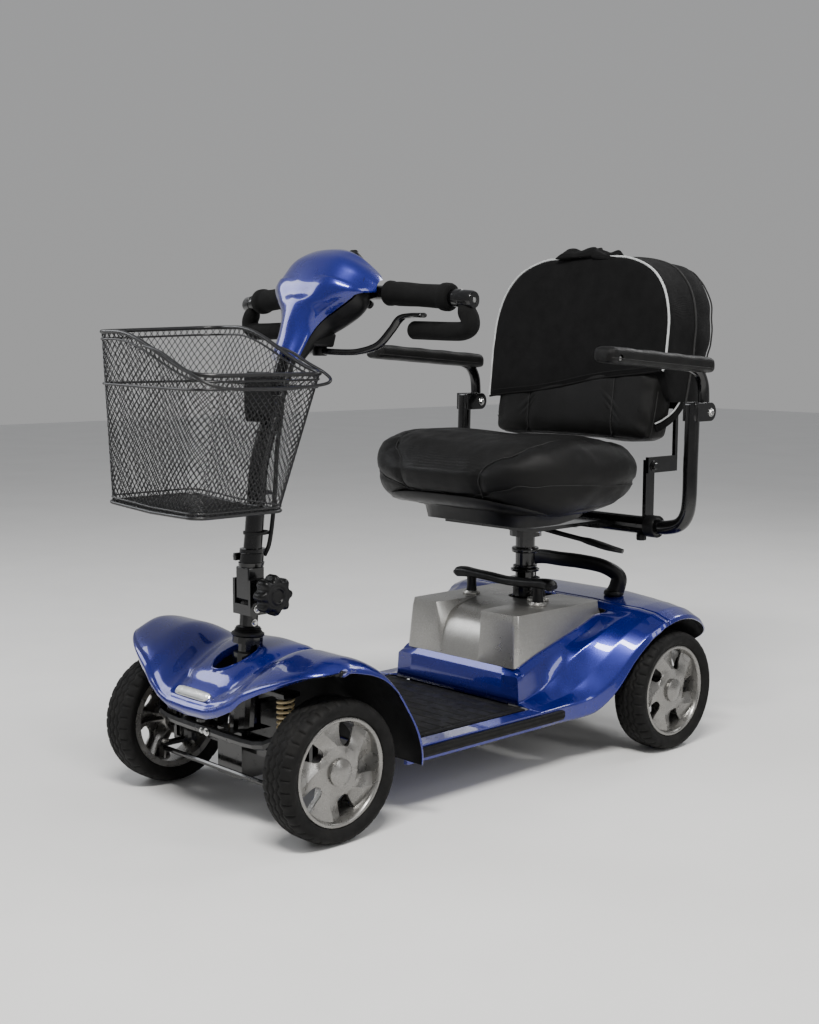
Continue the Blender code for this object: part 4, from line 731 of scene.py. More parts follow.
for z, r in ((.3700, .0150), (.3702, .0192), (.3760, .0200), (.3770, .0185), (.3900, .0180), (.3912, .0196), (.3965, .0196), (.3975, .0150)):
    c = Vector((0, float(np.interp(z, [.370, .41], [-.3525, -.3475])), z))
    rings.append([c + Vector((r * math.cos(a), r * math.sin(a), 0)) for a in (2 * math.pi * k / 36 for k in range(36))])
piece("tiller_clamp_collar", *loft(rings), BLACKP, "tiller", smooth=35)
lug = boxm((-.0235, -.3690, .3775), (-.0165, -.3560, .3890))
piece("collar_lug", *lug, BLACKP, "tiller", smooth=30, bevel=.0015)
piece("collar_bolt", *bolt((-.0236, -.3630, .3832), (-1, 0, 0), .0036, .003), STEEL, "tiller", smooth=30)
# bracket that holds the basket
bz = [[(sx * w, y, z) for sx, z in ((-1, .5950 + e), (1, .5950 + e), (1, .6250 - e), (-1, .6250 - e))] for y, w, e in ((-.3296, .0200, 0), (-.3020, .0200, 0))]
piece("basket_bracket", *loft(bz), PLAST, "tiller", smooth=30, bevel=.0025)
# steering collar bolts and cheek bolts
for i, (x, z, ax) in enumerate(((-.0216, .345, (-1, 0, 0)), (-.0216, .308, (-1, 0, 0)), (.0216, .308, (1, 0, 0)))):
    piece("cheek_bolt_%d" % i, *bolt((x, fy + (.006 if i == 0 else -.004), z), ax, .0042, .0034, "button"), STEEL, "steering", smooth=30)
for i, (x, z) in enumerate(((-.0143, .286), (.0143, .286), (-.0143, .274), (.0143, .274))):
    p = on_steer(z); piece("post_bolt_%d" % i, *bolt((x, p.y, z), (1 if x > 0 else -1, 0, 0), .0036, .0034), STEEL, "steering", smooth=30)
piece("post_collar_ring", *turned([(.0146, -.0030), (.0236, -.0030), (.0250, -.0015), (.0250, .0015), (.0225, .0032), (.0170, .0045), (.0146, .0045)], 48, on_steer(.2680), STEER_AX), PLAST, "steering", smooth=40)
piece("post_gaiter", *turned([(.0146, 0), (.0205, 0), (.0210, .0012), (.0190, .0024), (.0205, .0036), (.0180, .0048), (.0190, .0060), (.0165, .0072), (.0146, .0080)], 40, on_steer(.2722), STEER_AX), PLAST, "steering", smooth=50)
# star knob
rings = []
NK = 168
for x, r, k in ((.0412, .0100, 0), (.0412, .0190, .0), (.0418, .0225, .0012), (.0440, .0262, .0026), (.0480, .0278, .0034), (.0600, .0280, .0034), (.0650, .0266, .0030), (.0678, .0240, .0018), (.0688, .0205, .0006), (.0690, .0190, 0), (.0684, .0180, 0),
                (.0684, .0135, 0), (.0694, .0125, 0), (.0698, .0115, 0), (.0690, .0100, 0), (.0672, .0088, 0), (.0670, .0040, 0), (.0670, .0002, 0)):
    ring = []
    for i in range(NK):
        a = 2 * math.pi * i / NK; c = math.cos(8 * a)
        q = r + k * math.copysign(abs(c) ** .7, c) * (.9 if c > 0 else 1.15)
        ring.append((x, fy + q * math.cos(a), fz + q * math.sin(a)))
    rings.append(ring)
piece("star_knob_head", *loft(rings), PLAST, "clamp_knob", rep=["star_knob"], slot="black_plastic", smooth=50)
piece("knob_hub", *turned([(.0003, .0222), (.0118, .0222), (.0118, .0300), (.0100, .0312), (.0100, .0360), (.0122, .0372), (.0122, .0412), (.0003, .0412)], 40, (0, fy, fz), (1, 0, 0), closed=False), PLAST, "clamp_knob", smooth=35)
piece("knob_stud", *join(turned([(.0003, -.0290), (.0045, -.0290), (.0045, .0300), (.0003, .0300)], 20, (0, fy, fz), (1, 0, 0), closed=False), turned([(.0003, -.0290), (.0085, -.0290), (.0085, -.0225), (.0003, -.0225)], 6, (0, fy, fz), (1, 0, 0), closed=False)), ZINC, "clamp_knob", smooth=30)
# loom down the tube, clipped to it at both ends
cb = path([(.0035, -.2930, .6100), (.0120, -.3040, .585), (.0160, -.3140, .545), (.0175, -.3185, .500), (.0165, -.3225, .450), (.0150, -.3290, .405), (.0080, -.3330, .385)], 60)
piece("loom_tube", *tube(cb, .0034, 14), PLAST, "tiller", smooth=60)
for i, (z, y) in enumerate(((.570, -.3207), (.480, -.3408), (.420, -.3465))):
    rr = [[Vector((0, y, z)) + Vector(((.0152 + d) * math.cos(a) * (1.28 if math.cos(a) > 0 else 1), (.0152 + d) * math.sin(a) * (1.45 if math.sin(a) > 0 else 1), h)) for a in (2 * math.pi * k / 40 for k in range(40))] for d, h in ((0, -.002), (.0012, -.002), (.0012, .002), (0, .002))]
    piece("loom_tie_%d" % i, *loft(rr, closed=True), PLAST, "tiller", smooth=40)

# ---------------------------------------------------------------- head
HN0 = Vector((0, -.2830, .676)); HD = Vector((0, .515, .857)).normalized(); HE = Vector((0, -.857, .515)).normalized()
HEAD = [(0, .0275, .021, .0), (.030, .029, .024, .002), (.055, .033, .030, .004), (.075, .046, .034, .006), (.092, .066, .037, .008), (.108, .084, .038, .010),
        (.124, .095, .037, .010), (.145, .099, .035, .008), (.165, .090, .031, .004), (.183, .064, .021, 0), (.192, .036, .011, 0)]
HS = [h[0] for h in HEAD]
def cr1(X_, Y_, x):
    i = max(min(int(np.searchsorted(X_, x)) - 1, len(X_) - 2), 0); t = (x - X_[i]) / (X_[i + 1] - X_[i])
    i0, i3 = max(i - 1, 0), min(i + 2, len(X_) - 1); h = X_[i + 1] - X_[i]
    m1 = (Y_[i + 1] - Y_[i0]) / (X_[i + 1] - X_[i0]) * h; m2 = (Y_[i3] - Y_[i]) / (X_[i3] - X_[i]) * h
    return (2 * t ** 3 - 3 * t ** 2 + 1) * Y_[i] + (t ** 3 - 2 * t ** 2 + t) * m1 + (-2 * t ** 3 + 3 * t ** 2) * Y_[i + 1] + (t ** 3 - t ** 2) * m2
def head_fine(s, grow=0.0, n=72, nb=16):
    wx = cr1(HS, [h[1] for h in HEAD], s) + grow; ef = cr1(HS, [h[2] for h in HEAD], s) + grow; eb = .001 + .1 * cr1(HS, [h[3] for h in HEAD], s)
    c = HN0 + HD * s; out = []
    skirt = .034 * sstep(.112, .146, s) * (1 - sstep(.170, .192, s))
    cre = sstep(.070, .100, s) * (1 - sstep(.165, .185, s))
    for k in range(n + 1):
        a = math.pi * k / n; ca, sa = math.cos(a), math.sin(a)
        e = ef * max(sa, 0) ** .9
        # the crease that runs to the wing tips
        e += cre * .0035 * gauss(abs(ca) - .60, .22) * (1 if s < .128 else .3)
        e -= cre * .0030 * gauss(s - .098, .012) * (1 - abs(ca) ** 2)
        e -= skirt * abs(ca) ** 5
        out.append(c + Vector((wx * ca, 0, 0)) + HE * e)
    for k in range(1, nb):
        a = math.pi * k / nb
        out.append(c + Vector((-wx * math.cos(a), 0, 0)) - HE * (eb * math.sin(a) + skirt * abs(math.cos(a)) ** 5))
    return out
ss = [0] + [.192 * i / 90 for i in range(1, 91)]
rings = [head_fine(s) for s in ss]
# the last rings narrow into a crown
head = piece("head_shell", *loft(rings), BLUE, None, smooth=60)
cut(head, tube([(0, -.3080, .605), (0, -.2820, .678), (0, -.2640, .706), (0, -.2450, .7360)], .0150, 28), "neck")
hbp = [(-.266, -.151, .7655), (-.22, -.1565, .7700), (-.10, -.1700, .7780), (0, -.1740, .7800), (.10, -.1700, .7780), (.22, -.1565, .7700), (.266, -.151, .7655)]
hb = path(hbp, 61)
cut(head, tube(hb, .0190, 28), "bar")
head.data.shade_smooth(); head.data.set_sharp_from_angle(angle=math.radians(42))
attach(head, "tiller"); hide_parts("head_cover")
def under_ring(s, wx, eb, n=48):
    c = HN0 + HD * s - HE * .0035; out = []
    for k in range(n + 1):
        a = math.pi * k / n
        out.append(c + Vector((wx * math.cos(a), 0, 0)) - HE * (eb * math.sin(a) ** .85))
    return out
UND = [(.012, .024, .020), (.045, .028, .030), (.070, .040, .045), (.092, .066, .056), (.112, .088, .062), (.132, .092, .064), (.152, .088, .062), (.175, .070, .055), (.195, .045, .045)]
US = [u[0] for u in UND]
rings = [under_ring(s, cr1(US, [u[1] for u in UND], s) - .0010, cr1(US, [u[2] for u in UND], s)) for s in [lerp(.012, .195, i / 50) for i in range(51)]]
under = piece("head_underside", *loft(rings), PLAST, None, smooth=60)
cut(under, tube([(0, -.3080, .605), (0, -.2820, .678), (0, -.2640, .706), (0, -.2450, .7360)], .0150, 28), "neck")
cut(under, tube(hb, .0188, 28), "bar")
bvl = under.modifiers.new("e", 'BEVEL'); bvl.width = .0012; bvl.segments = 2; bvl.limit_method = 'ANGLE'; bvl.angle_limit = math.radians(50); apply_all(under)
under.data.shade_smooth(); under.data.set_sharp_from_angle(angle=math.radians(42))
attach(under, "tiller"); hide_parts("head_base")
piece("handlebar_tube", *tube(hb, .0110, 28), BLACKP, "tiller", rep=["handlebar"], slot="black_paint", smooth=50)
def barp(x):
    return Vector((x, float(np.interp(abs(x), [0, .1, .22, .266], [-.174, -.170, -.1565, -.151])), float(np.interp(abs(x), [0, .1, .22, .266], [.780, .778, .770, .7655]))))
for s, nm in ((1, "L"), (-1, "R")):
    gx = [(.1045, .0150), (.1050, .0180), (.1075, .0190), (.1130, .0188), (.1180, .0176), (.128, .0182), (.145, .0178), (.165, .0170), (.185, .0172), (.202, .0176), (.2075, .0180), (.2105, .0202), (.2150, .0208), (.2215, .0206), (.2245, .0194), (.2255, .0170), (.2256, .0115)]
    P = [barp(s * x) for x, _ in gx]; g = tube(P, [r for _, r in gx], 44, cap=False)
    piece("grip_foam_" + nm, *g, FOAM, "tiller", rep=["grip_" + nm], slot="foam", smooth=60)
    e0 = barp(s * .2300); e1 = barp(s * .266); d = (e1 - e0)
    L_ = d.length
    piece("bar_end_" + nm, *turned([(.0003, 0), (.0128, 0), (.0132, .0015), (.0132, .012), (.0122, .0130), (.0122, .0175), (.0132, .0185), (.0132, L_ - .003), (.0120, L_), (.0060, L_ + .0004), (.0055, L_ - .0015), (.0003, L_ - .0015)], 40, e0, d, closed=False), BLACKP, "tiller", smooth=35)
    piece("bar_end_screw_" + nm, *turned([(.0003, 0), (.0040, 0), (.0036, .0018), (.0003, .0022)], 20, e1 - d.normalized() * .0014, d, closed=False), STEEL, "tiller", smooth=35)
    lp = path([(s * .2470, -.1535, .7620), (s * .2520, -.1530, .7500), (s * .2590, -.1525, .7380), (s * .2580, -.1520, .7270), (s * .2440, -.1515, .7212), (s * .2200, -.1510, .7206), (s * .18, -.1500, .7215), (s * .150, -.1470, .7222), (s * .133, -.1460, .7225)], 60)
    rr = [lerp(.0095, .0138, sstep(0, .16, i / 59)) for i in range(60)]
    rr[-1] = .0105; rr[-2] = .0128
    piece("guard_foam_" + nm, *tube(lp, rr, 32), FOAM, "tiller", rep=["guard_loop_" + nm], slot="foam", smooth=60)
# throttle lever
wp = [(.040, -.1990, .6885), (.062, -.186, .6905), (.085, -.172, .700), (.103, -.162, .722), (.1165, -.156, .7400), (.135, -.150, .7445), (.158, -.147, .7445)]
wp = [(-x, y, z) for x, y, z in wp[::-1]] + [(0, -.2165, .6900)] + wp
WP = path(wp, 150); rings = []
for i, (p, t, n, b) in enumerate(frames(WP)):
    u = abs(i / 149 * 2 - 1); w = lerp(.0066, .0100, sstep(.55, .98, u)) * (1 - .5 * sstep(.985, 1.0, u)); th = lerp(.0050, .0038, sstep(.4, .9, u))
    side = Vector((0, 1, 0)); side = (side - t * side.dot(t)).normalized(); nn = t.cross(side)
    rings.append([p + side * (w * math.copysign(abs(math.cos(a)) ** .6, math.cos(a))) + nn * (th * math.copysign(abs(math.sin(a)) ** .8, math.sin(a))) for a in (2 * math.pi * k / 24 for k in range(24))])
piece("throttle_paddle", *loft(rings), BLACKP, "throttle", rep=["throttle_lever"], slot="black_plastic", smooth=50)
piece("throttle_hub", *turned([(.0003, -.007), (.0105, -.007), (.0115, -.005), (.0115, .005), (.0105, .007), (.0003, .007)], 36, (0, -.2165, .6900), (0, 0, 1), closed=False), PLAST, "throttle", smooth=40)
# key: chrome barrel on the head, black bow
k0 = HN0 + HD * .1955 - HE * .030
piece("key_barrel", *turned([(.0003, -.0060), (.0080, -.0060), (.0080, -.0012), (.0074, .0002), (.0040, .0004), (.0038, -.0008), (.0003, -.0008)], 36, k0, HD, closed=False), STEEL, "tiller", smooth=35)
def bow(h, w, t): return [k0 + HD * h + Vector((w * math.copysign(abs(math.cos(a)) ** .6, math.cos(a)), 0, 0)) + HE * (t * math.copysign(abs(math.sin(a)) ** .6, math.sin(a))) for a in (2 * math.pi * k / 28 for k in range(28))]
piece("key_bow", *loft([bow(.0060, .0045, .0016), bow(.0070, .0085, .0024), (bow(.0085, .0102, .0027)), bow(.0150, .0112, .0027), bow(.0190, .0100, .0026), bow(.0208, .0072, .0020), bow(.0211, .0050, .0010)]), PLAST, "key", rep=["ignition_key"], smooth=45)
piece("key_shank", *loft([bow(.0006, .0030, .0010), bow(.0066, .0030, .0010)]), STEEL, "key", smooth=45)
bn = -HE
d0 = HN0 + HD * .148 - HE * .0685
rings = []
for h, r, kk in ((0, .0112, 0), (.0008, .0112, .0), (.0012, .0108, .0004), (.0056, .0104, .0004), (.0072, .0092, .0), (.0080, .0075, 0), (.0082, .0003, 0)):
    u_ = bn.orthogonal().normalized(); w_ = bn.cross(u_)
    rings.append([d0 + bn * h + (u_ * math.cos(a) + w_ * math.sin(a)) * (r + kk * math.cos(18 * a)) for a in (2 * math.pi * k / 108 for k in range(108))])
piece("speed_dial_knob", *loft(rings), PLAST, "dial", rep=["speed_dial"], smooth=40)
h0 = HN0 + HD * .140 - HE * .0640 + Vector((.045, 0, 0))
piece("horn_cap", *turned([(.0003, 0), (.0064, 0), (.0064, .0045), (.0056, .0060), (.0035, .0066), (.0003, .0068)], 32, h0, bn, closed=False), RUBBER, "horn", rep=["horn_button"], smooth=40)
# control box under the head, above the lever
cbx = [[(x, y, z) for y, z in ((-.2500, .6990), (-.2080, .6960), (-.2020, .7160), (-.2400, .7260))] for x in (-.024, .024)]
piece("control_box", *loft(cbx), PLAST, "tiller", smooth=30, bevel=.003)

# ---------------------------------------------------------------- basket
def bask_z(x, y):
    t = sstep(-.085, .135, x)
    return lerp(.7225, .6600, t) + .004 * (y + .42) / .11 * (1 - t)
def bask_pt(k, u, d=0.0):
    """k 0 at the base, 1 at the rim; u runs round the wall by length, from the middle of the near side."""
    cy = lerp(-.450, -.420, k); rx = lerp(.110, .1365, k) - d; ry = lerp(.078, .1090, k) - d; r = lerp(.022, .034, k)
    hx, hy, q = rx - r, ry - r, math.pi * r / 2
    s = (u % 1.0) * (4 * (hx + hy) + 4 * q)
    for n_, (sx, sy, a0, ln, dx, dy) in enumerate(((rx, 0, None, hy, 0, 1), (hx, hy, 0, q, 0, 0), (hx, ry, None, 2 * hx, -1, 0), (-hx, hy, 90, q, 0, 0), (-rx, hy, None, 2 * hy, 0, -1),
                                  (-hx, -hy, 180, q, 0, 0), (-hx, -ry, None, 2 * hx, 1, 0), (hx, -hy, 270, q, 0, 0), (rx, -hy, None, hy, 0, 1))):
        if s <= ln or n_ == 8:
            if a0 is None: x, y = sx + dx * s, sy + dy * s
            else: t_ = math.radians(a0) + s / r; x, y = sx + r * math.cos(t_), sy + r * math.sin(t_)
            break
        s -= ln
    y += cy
    if x < 0: x *= 1.075
    return Vector((x, y, lerp(.4640 + .006 * max(-x, 0) / .11, bask_z(x, y), k)))
MC, MR = 84, 19
V, F = [], []
idx = {}
for r in range(2 * MR + 1):
    for c in range(MC):
        u = (c + .5 * (r % 2)) / MC
        idx[(r, c)] = len(V); V.append(bask_pt(r / (2 * MR), u, .0012))
for r in range(0, 2 * MR - 1):
    for c in range(MC):
        l = (r + 1, (c - 1) % MC if r % 2 == 0 else c); rr_ = (r + 1, c if r % 2 == 0 else (c + 1) % MC)
        F.append((idx[(r, c)], idx[rr_], idx[(r + 2, c)], idx[l]))
# base: the same diamonds, drawn in towards the middle
nb0 = len(V); BRN = 13
for q in range(1, 2 * BRN + 1):
    kx = 1 - q / (2 * BRN + 2)
    for c in range(MC):
        u = (c + .5 * (q % 2)) / MC; b = bask_pt(0, u, .0012)
        idx[(-q, c)] = len(V); V.append(Vector((b.x * kx, -.450 + (b.y + .450) * kx, .4652 + .006 * max(-b.x * kx, 0) / .11)))
for q in range(0, 2 * BRN - 1):
    r = -q
    for c in range(MC):
        par = q % 2
        l = (-(q + 1), (c - 1) % MC if par == 0 else c); rr_ = (-(q + 1), c if par == 0 else (c + 1) % MC)
        F.append((idx[(r, c)], idx[l], idx[(-(q + 2), c)], idx[rr_]))
bm_ = piece("basket_mesh", V, F, DARK, None, smooth=60, recalc=False, merge=False)
w = bm_.modifiers.new("wire", 'WIREFRAME'); w.thickness = .0018; w.use_even_offset = False; w.use_replace = True; w.use_boundary = True
apply_all(bm_); bm_.data.shade_smooth()
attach(bm_, "basket"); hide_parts("basket")
def ring_wire(name, fn, r, n=220, mat=DARK, seg=12):
    P = [fn(i / n) for i in range(n)]; rings = []
    for i in range(n):
        t = (P[(i + 1) % n] - P[i - 1]).normalized(); up = Vector((0, 0, 1)); n1_ = (up - t * up.dot(t)).normalized(); b1 = t.cross(n1_)
        rings.append([P[i] + n1_ * (r * math.cos(a)) + b1 * (r * math.sin(a)) for a in (2 * math.pi * k / seg for k in range(seg))])
    return piece(name, *loft(rings, closed=True), mat, "basket", slot="black_paint", smooth=60)
ring_wire("basket_rim", lambda u: bask_pt(1, u, .0012) + Vector((0, 0, -.0006)), .0031)
ring_wire("basket_rim_under", lambda u: bask_pt(.955, u, .0004), .0016)
def band(u):
    p = bask_pt(.72, u, .0); z = .6410; k = (z - .4640) / (bask_z(p.x, p.y) - .4640)
    return bask_pt(min(k, 1), u, -.0004)
ring_wire("basket_band", band, .0019)
ring_wire("basket_base_wire", lambda u: bask_pt(.0, u, -.0002) + Vector((0, 0, .001)), .0026)
ring_wire("basket_low_wire", lambda u: bask_pt(.035, u, .0008), .0013)
for i, xx in enumerate((-.055, 0, .055)):
    P = path([(xx, -.5265, .4668), (xx, -.49, .4662), (xx, -.45, .4660), (xx, -.41, .4662), (xx, -.3735, .4668)], 20)
    piece("basket_floor_wire_%d" % i, *tube(P, .0015, 10), DARK, "basket", smooth=60)
# mounting plate inside the rear wall
pl = [[(x, y, z) for x, z in ((-.030, .585), (.030, .585), (.034, .600), (.034, .652), (.026, .660), (-.026, .660), (-.034, .652), (-.034, .600))] for y in (-.3375, -.3330)]
piece("basket_plate", *loft(pl), PLAST, "basket", smooth=30, bevel=.0015)
BP = [(0, -.5345, .6985), (.040, -.5345, .6900), (.085, -.5345, .6720), (.125, -.5330, .6560), (.1450, -.5200, .6460), (.1500, -.4950, .6420),
      (.1500, -.4200, .6400), (.1500, -.3450, .6440), (.1440, -.3180, .6500), (.120, -.3080, .6600), (.080, -.3062, .6740), (.040, -.3062, .6900), (0, -.3062, .6985)]
piece("basket_bail", *tube(path(BP, 110), .0024, 14), DARK, "bail", rep=["basket_handle"], slot="black_paint", smooth=60)

# ---------------------------------------------------------------- seat metalwork
lv = path([(.034, .2715, .3750), (.060, .281, .3690), (.085, .290, .3640), (.105, .297, .3600), (.125, .304, .3555), (.150, .313, .3490), (.175, .322, .3440)], 50); rings = []
for i, (p, t, n, b) in enumerate(frames(lv)):
    u = i / 49; w_ = lerp(.0052, .0118, sstep(.45, .75, u)) * (1 - .45 * sstep(.94, 1, u)); h_ = lerp(.0044, .0062, sstep(.45, .62, u)) * (1 - .35 * sstep(.75, 1, u))
    rings.append([p + n * (h_ * math.cos(a)) + b * (w_ * math.sin(a)) for a in (2 * math.pi * k / 24 for k in range(24))])
piece("swivel_paddle", *loft(rings), PLAST, "swivel_lever", rep=["seat_lever"], slot="black_plastic", smooth=50)
piece("seat_post_ring", *turned([(.0180, .3300), (.0235, .3302), (.0245, .3320), (.0245, .3375), (.0235, .3390), (.0180, .3392)], 44, (0, .264, 0), (0, 0, 1)), BLACKP, "seat_column", smooth=40)
for i, z in enumerate((.2960, .3020)):
    piece("sleeve_ring_%d" % i, *turned([(.0180, z), (.0210 + .004 * (1 - i), z), (.0220 + .004 * (1 - i), z + .0015), (.0220 + .004 * (1 - i), z + .004), (.0200 + .003 * (1 - i), z + .0052), (.0180, z + .0052)], 44, (0, .264, 0), (0, 0, 1)), BLACKP, "seat_column", smooth=40)
for i, (x, y) in enumerate(((-.085, .20), (.085, .20), (-.085, .30), (.085, .30), (.03, .20), (.03, .335))):
    piece("pan_bolt_%d" % i, *bolt((x, y, .3838), (0, 0, -1), .0042, .0036), ZINC, "seat", smooth=30)
for s, nm in ((1, "L"), (-1, "R")):
    piece("hinge_cap_" + nm, *bolt((s * .1881, .387, .490), (s, 0, 0), .0062, .0048), BLACKP, "backrest", smooth=30)
    piece("clamp_sleeve_" + nm, *turned([(.0165, 0), (.0190, 0), (.0196, .0015), (.0196, .020), (.0190, .0215), (.0165, .0215)], 36, (s * .1850, .380, .385), (s, 0, 0)), PLAST, "seat", smooth=40)
    piece("clamp_knob_" + nm, *turned([(.0003, 0), (.0085, 0), (.0092, .0012), (.0092, .0095), (.0080, .011), (.0003, .011)], 8, (s * .170, .380, .3690), (0, 0, -1), closed=False), PLAST, "seat", smooth=30)

# ---------------------------------------------------------------- armrests
for s, nm in ((1, "L"), (-1, "R")):
    p = [(s * .085, .380, .385), (s * .150, .380, .385), (s * .200, .380, .385), (s * .225, .380, .3858), (s * .250, .380, .393), (s * .264, .380, .409), (s * .2695, .380, .436), (s * .270, .3805, .50), (s * .270, .3825, .600)]
    tb = tube(path(p, 80), .0125, 28)
    piece("arm_bar_" + nm, *tb, BLACKP, "arm_slide_" + nm, rep=["arm_tube_" + nm], slot="black_paint", smooth=50)
    def cheek(x0, x1, name):
        prof = [(.376, .572), (.376, .604), (.3935, .604)] + [(.4135 + .0150 * math.cos(a), .588 + .0160 * math.sin(a)) for a in (math.radians(90 - 12 * k) for k in range(0, 16))]
        m = loft([[(x, y, z) for y, z in prof] for x in sorted((s * x0, s * x1))])
        return piece(name, *m, BLACKP, "arm_slide_" + nm, slot="black_paint", smooth=30, bevel=.0006)
    cheek(.2818, .2858, "pivot_cheek_out_" + nm); cheek(.2542, .2582, "pivot_cheek_in_" + nm)
    x0, x1 = sorted((s * .2570, s * .2830))
    piece("pivot_clamp_" + nm, *boxm((x0, .3735, .572), (x1, .3940, .604)), BLACKP, "arm_slide_" + nm, smooth=30, bevel=.004)
    piece("pivot_bolt_" + nm, *bolt((s * .2858, .4135, .587), (s, 0, 0), .0050, .0030), STEEL, "arm_slide_" + nm, smooth=30)
    piece("pivot_nut_" + nm, *bolt((s * .2542, .4135, .587), (-s, 0, 0), .0050, .0030), STEEL, "arm_slide_" + nm, smooth=30)
    # the support that curves down from the pad to the pivot
    up = path([(s * .27, .352, .6665), (s * .27, .376, .6640), (s * .27, .397, .6545), (s * .27, .4100, .6350), (s * .27, .4135, .6100), (s * .27, .4135, .5870)], 48)
    piece("arm_support_" + nm, *tube(up, [lerp(.0088, .0098, sstep(0, .3, i / 47)) for i in range(48)], 28), BLACKP, "arm_flip_" + nm, rep=["arm_upper_" + nm], slot="black_paint", smooth=55)
    # padded top
    def pad_ring(y, e, nn=56):
        zc = .6860 - .0714 * (y - .137); out = []
        for k in range(nn):
            a = 2 * math.pi * (k + .5) / nn; c, q = math.cos(a), math.sin(a)
            wx = .0225 - e * .8; hz = .0143 - e * .55 if q > 0 else .0128 - e * .45
            pw = 2 / 3.6
            z = zc + hz * math.copysign(abs(q) ** pw, q)
            x = wx * math.copysign(abs(c) ** pw, c)
            if q < 0: x *= 1 - .08 * abs(q)
            out.append((s * .27 + x, y, z - e * .25))
        return out
    rings = []
    for i in range(90):
        t = i / 89; y = lerp(.1366, .4184, t)
        de = min(y - .1366, .4184 - y)
        e = .0125 * (1 - math.sqrt(max(1 - (1 - min(de / .0125, 1)) ** 2, 0)))
        e += .0006 * math.sin(y * 95) * sstep(.01, .03, de)
        rings.append(pad_ring(y, e))
    pad = piece("arm_pad_soft_" + nm, *loft(rings), LEATHER, None, smooth=60)
    cut(pad, turned([(.0003, -.0045), (.0058, -.0045), (.0070, .0045), (.0003, .0045)], 28, (s * (.27 + .0225), .1560, .6800), (s, 0, -.35), closed=False), "hole")
    pad.data.shade_smooth(); pad.data.set_sharp_from_angle(angle=math.radians(50))
    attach(pad, "arm_flip_" + nm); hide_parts("arm_pad_" + nm)
    piece("pad_screw_" + nm, *turned([(.0003, 0), (.0040, 0), (.0036, .0016), (.0016, .0018), (.0014, .0006), (.0003, .0006)], 24, (s * (.27 + .0190), .1560, .6806), (s, 0, -.35), closed=False), STEEL, "arm_flip_" + nm, smooth=35)
    # seam round the pad, a little under the crown
    P = []
    for i in range(160):
        t = i / 160; per = t * 2
        if per < 1: y = lerp(.1395, .4155, per); sx = 1
        else: y = lerp(.4155, .1395, per - 1); sx = -1
        de = min(y - .1366, .4184 - y); e = .0125 * (1 - math.sqrt(max(1 - (1 - min(de / .0125, 1)) ** 2, 0)))
        zc = .6860 - .0714 * (y - .137)
        P.append(Vector((s * .27 + sx * (.0222 - e * .8), y, zc - .0045)))
    rings = []
    for i in range(160):
        tt_ = (P[(i + 1) % 160] - P[i - 1]).normalized(); up = Vector((0, 0, 1)); n1_ = (up - tt_ * up.dot(tt_)).normalized(); b1 = tt_.cross(n1_)
        rings.append([P[i] + n1_ * (.0007 * math.cos(a)) + b1 * (.0007 * math.sin(a)) for a in (2 * math.pi * k / 8 for k in range(8))])
    piece("pad_seam_" + nm, *loft(rings, closed=True), THREAD, "arm_flip_" + nm, smooth=60)

# ---------------------------------------------------------------- seat cushion
def seat_top(y): return table([(.03, .492), (.05, .512), (.09, .532), (.15, .541), (.23, .540), (.30, .528), (.35, .512), (.375, .497), (.40, .480)], y)
def seat_bot(y): return table([(.03, .450), (.06, .434), (.12, .423), (.20, .425), (.28, .435), (.34, .446), (.38, .456), (.40, .462)], y)
def sup_pt(a, f, rx=.2230, ry=.190, p=3.3):
    c, s = math.cos(a), math.sin(a)
    if s > 0: ry, p = .181, 2.7          # the rear corners clear the folding back frame
    return rx * f * math.copysign(abs(c) ** (2 / p), c), .215 + ry * (1 - (1 - f)) * math.copysign(abs(s) ** (2 / p), s)
NS = 200
levels = []
for i in range(1, 34): levels.append((i / 34 * .86, 1.0, 'T'))
for i in range(0, 27):
    a = math.radians(90 - 180 * i / 26); ca, sa = math.cos(a), math.sin(a)
    levels.append((.86 + .14 * max(ca, 0) ** (.62 if sa > 0 else .95), .5 + .5 * math.copysign(abs(sa) ** .80, sa), 'S'))
for i in range(13, 0, -1): levels.append((i / 14 * .86, 0.0, 'B'))
rings = []
for f, k, kind in levels:
    ring = []
    for q in range(NS):
        a = 2 * math.pi * (q + .5) / NS
        x, y = sup_pt(a, f)
        yt = min(max(y, .036), .395)
        zt, zb = seat_top(yt), seat_bot(yt)
        if kind == 'T': z = zt + .0040 * (1 - (f / .86) ** 2) - .0040 * gauss(x, .060) * sstep(.05, .12, y) * (1 - sstep(.30, .37, y))
        elif kind == 'B': z = zb
        else: z = lerp(zb, zt, k)
        # the front rolls under
        if kind != 'B': y += .020 * (1 - k) * sstep(.14, .03, y) if y < .14 else 0
        ring.append(Vector((x, y, z)))
    rings.append(ring)
top_c = Vector((0, .215, seat_top(.215))); bot_c = Vector((0, .215, seat_bot(.215)))
V, F = loft(rings, cap=False)
V = list(V); V += [top_c, bot_c]; n = NS
for q in range(n):
    F.append((len(V) - 2, (q + 1) % n, q)); m0 = (len(rings) - 1) * n; F.append((len(V) - 1, m0 + q, m0 + (q + 1) % n))
seat = piece("seat_cushion_soft", V, F, [LEATHER, PERF], None, smooth=180)

def lap(o, it, lam=.5):
    """Relax the surface a little."""
    bm = bmesh.new(); bm.from_mesh(o.data)
    for _ in range(it): bmesh.ops.smooth_vert(bm, verts=bm.verts, factor=lam, use_axis_x=True, use_axis_y=True, use_axis_z=True)
    bm.to_mesh(o.data); bm.free()
lap(seat, 6)

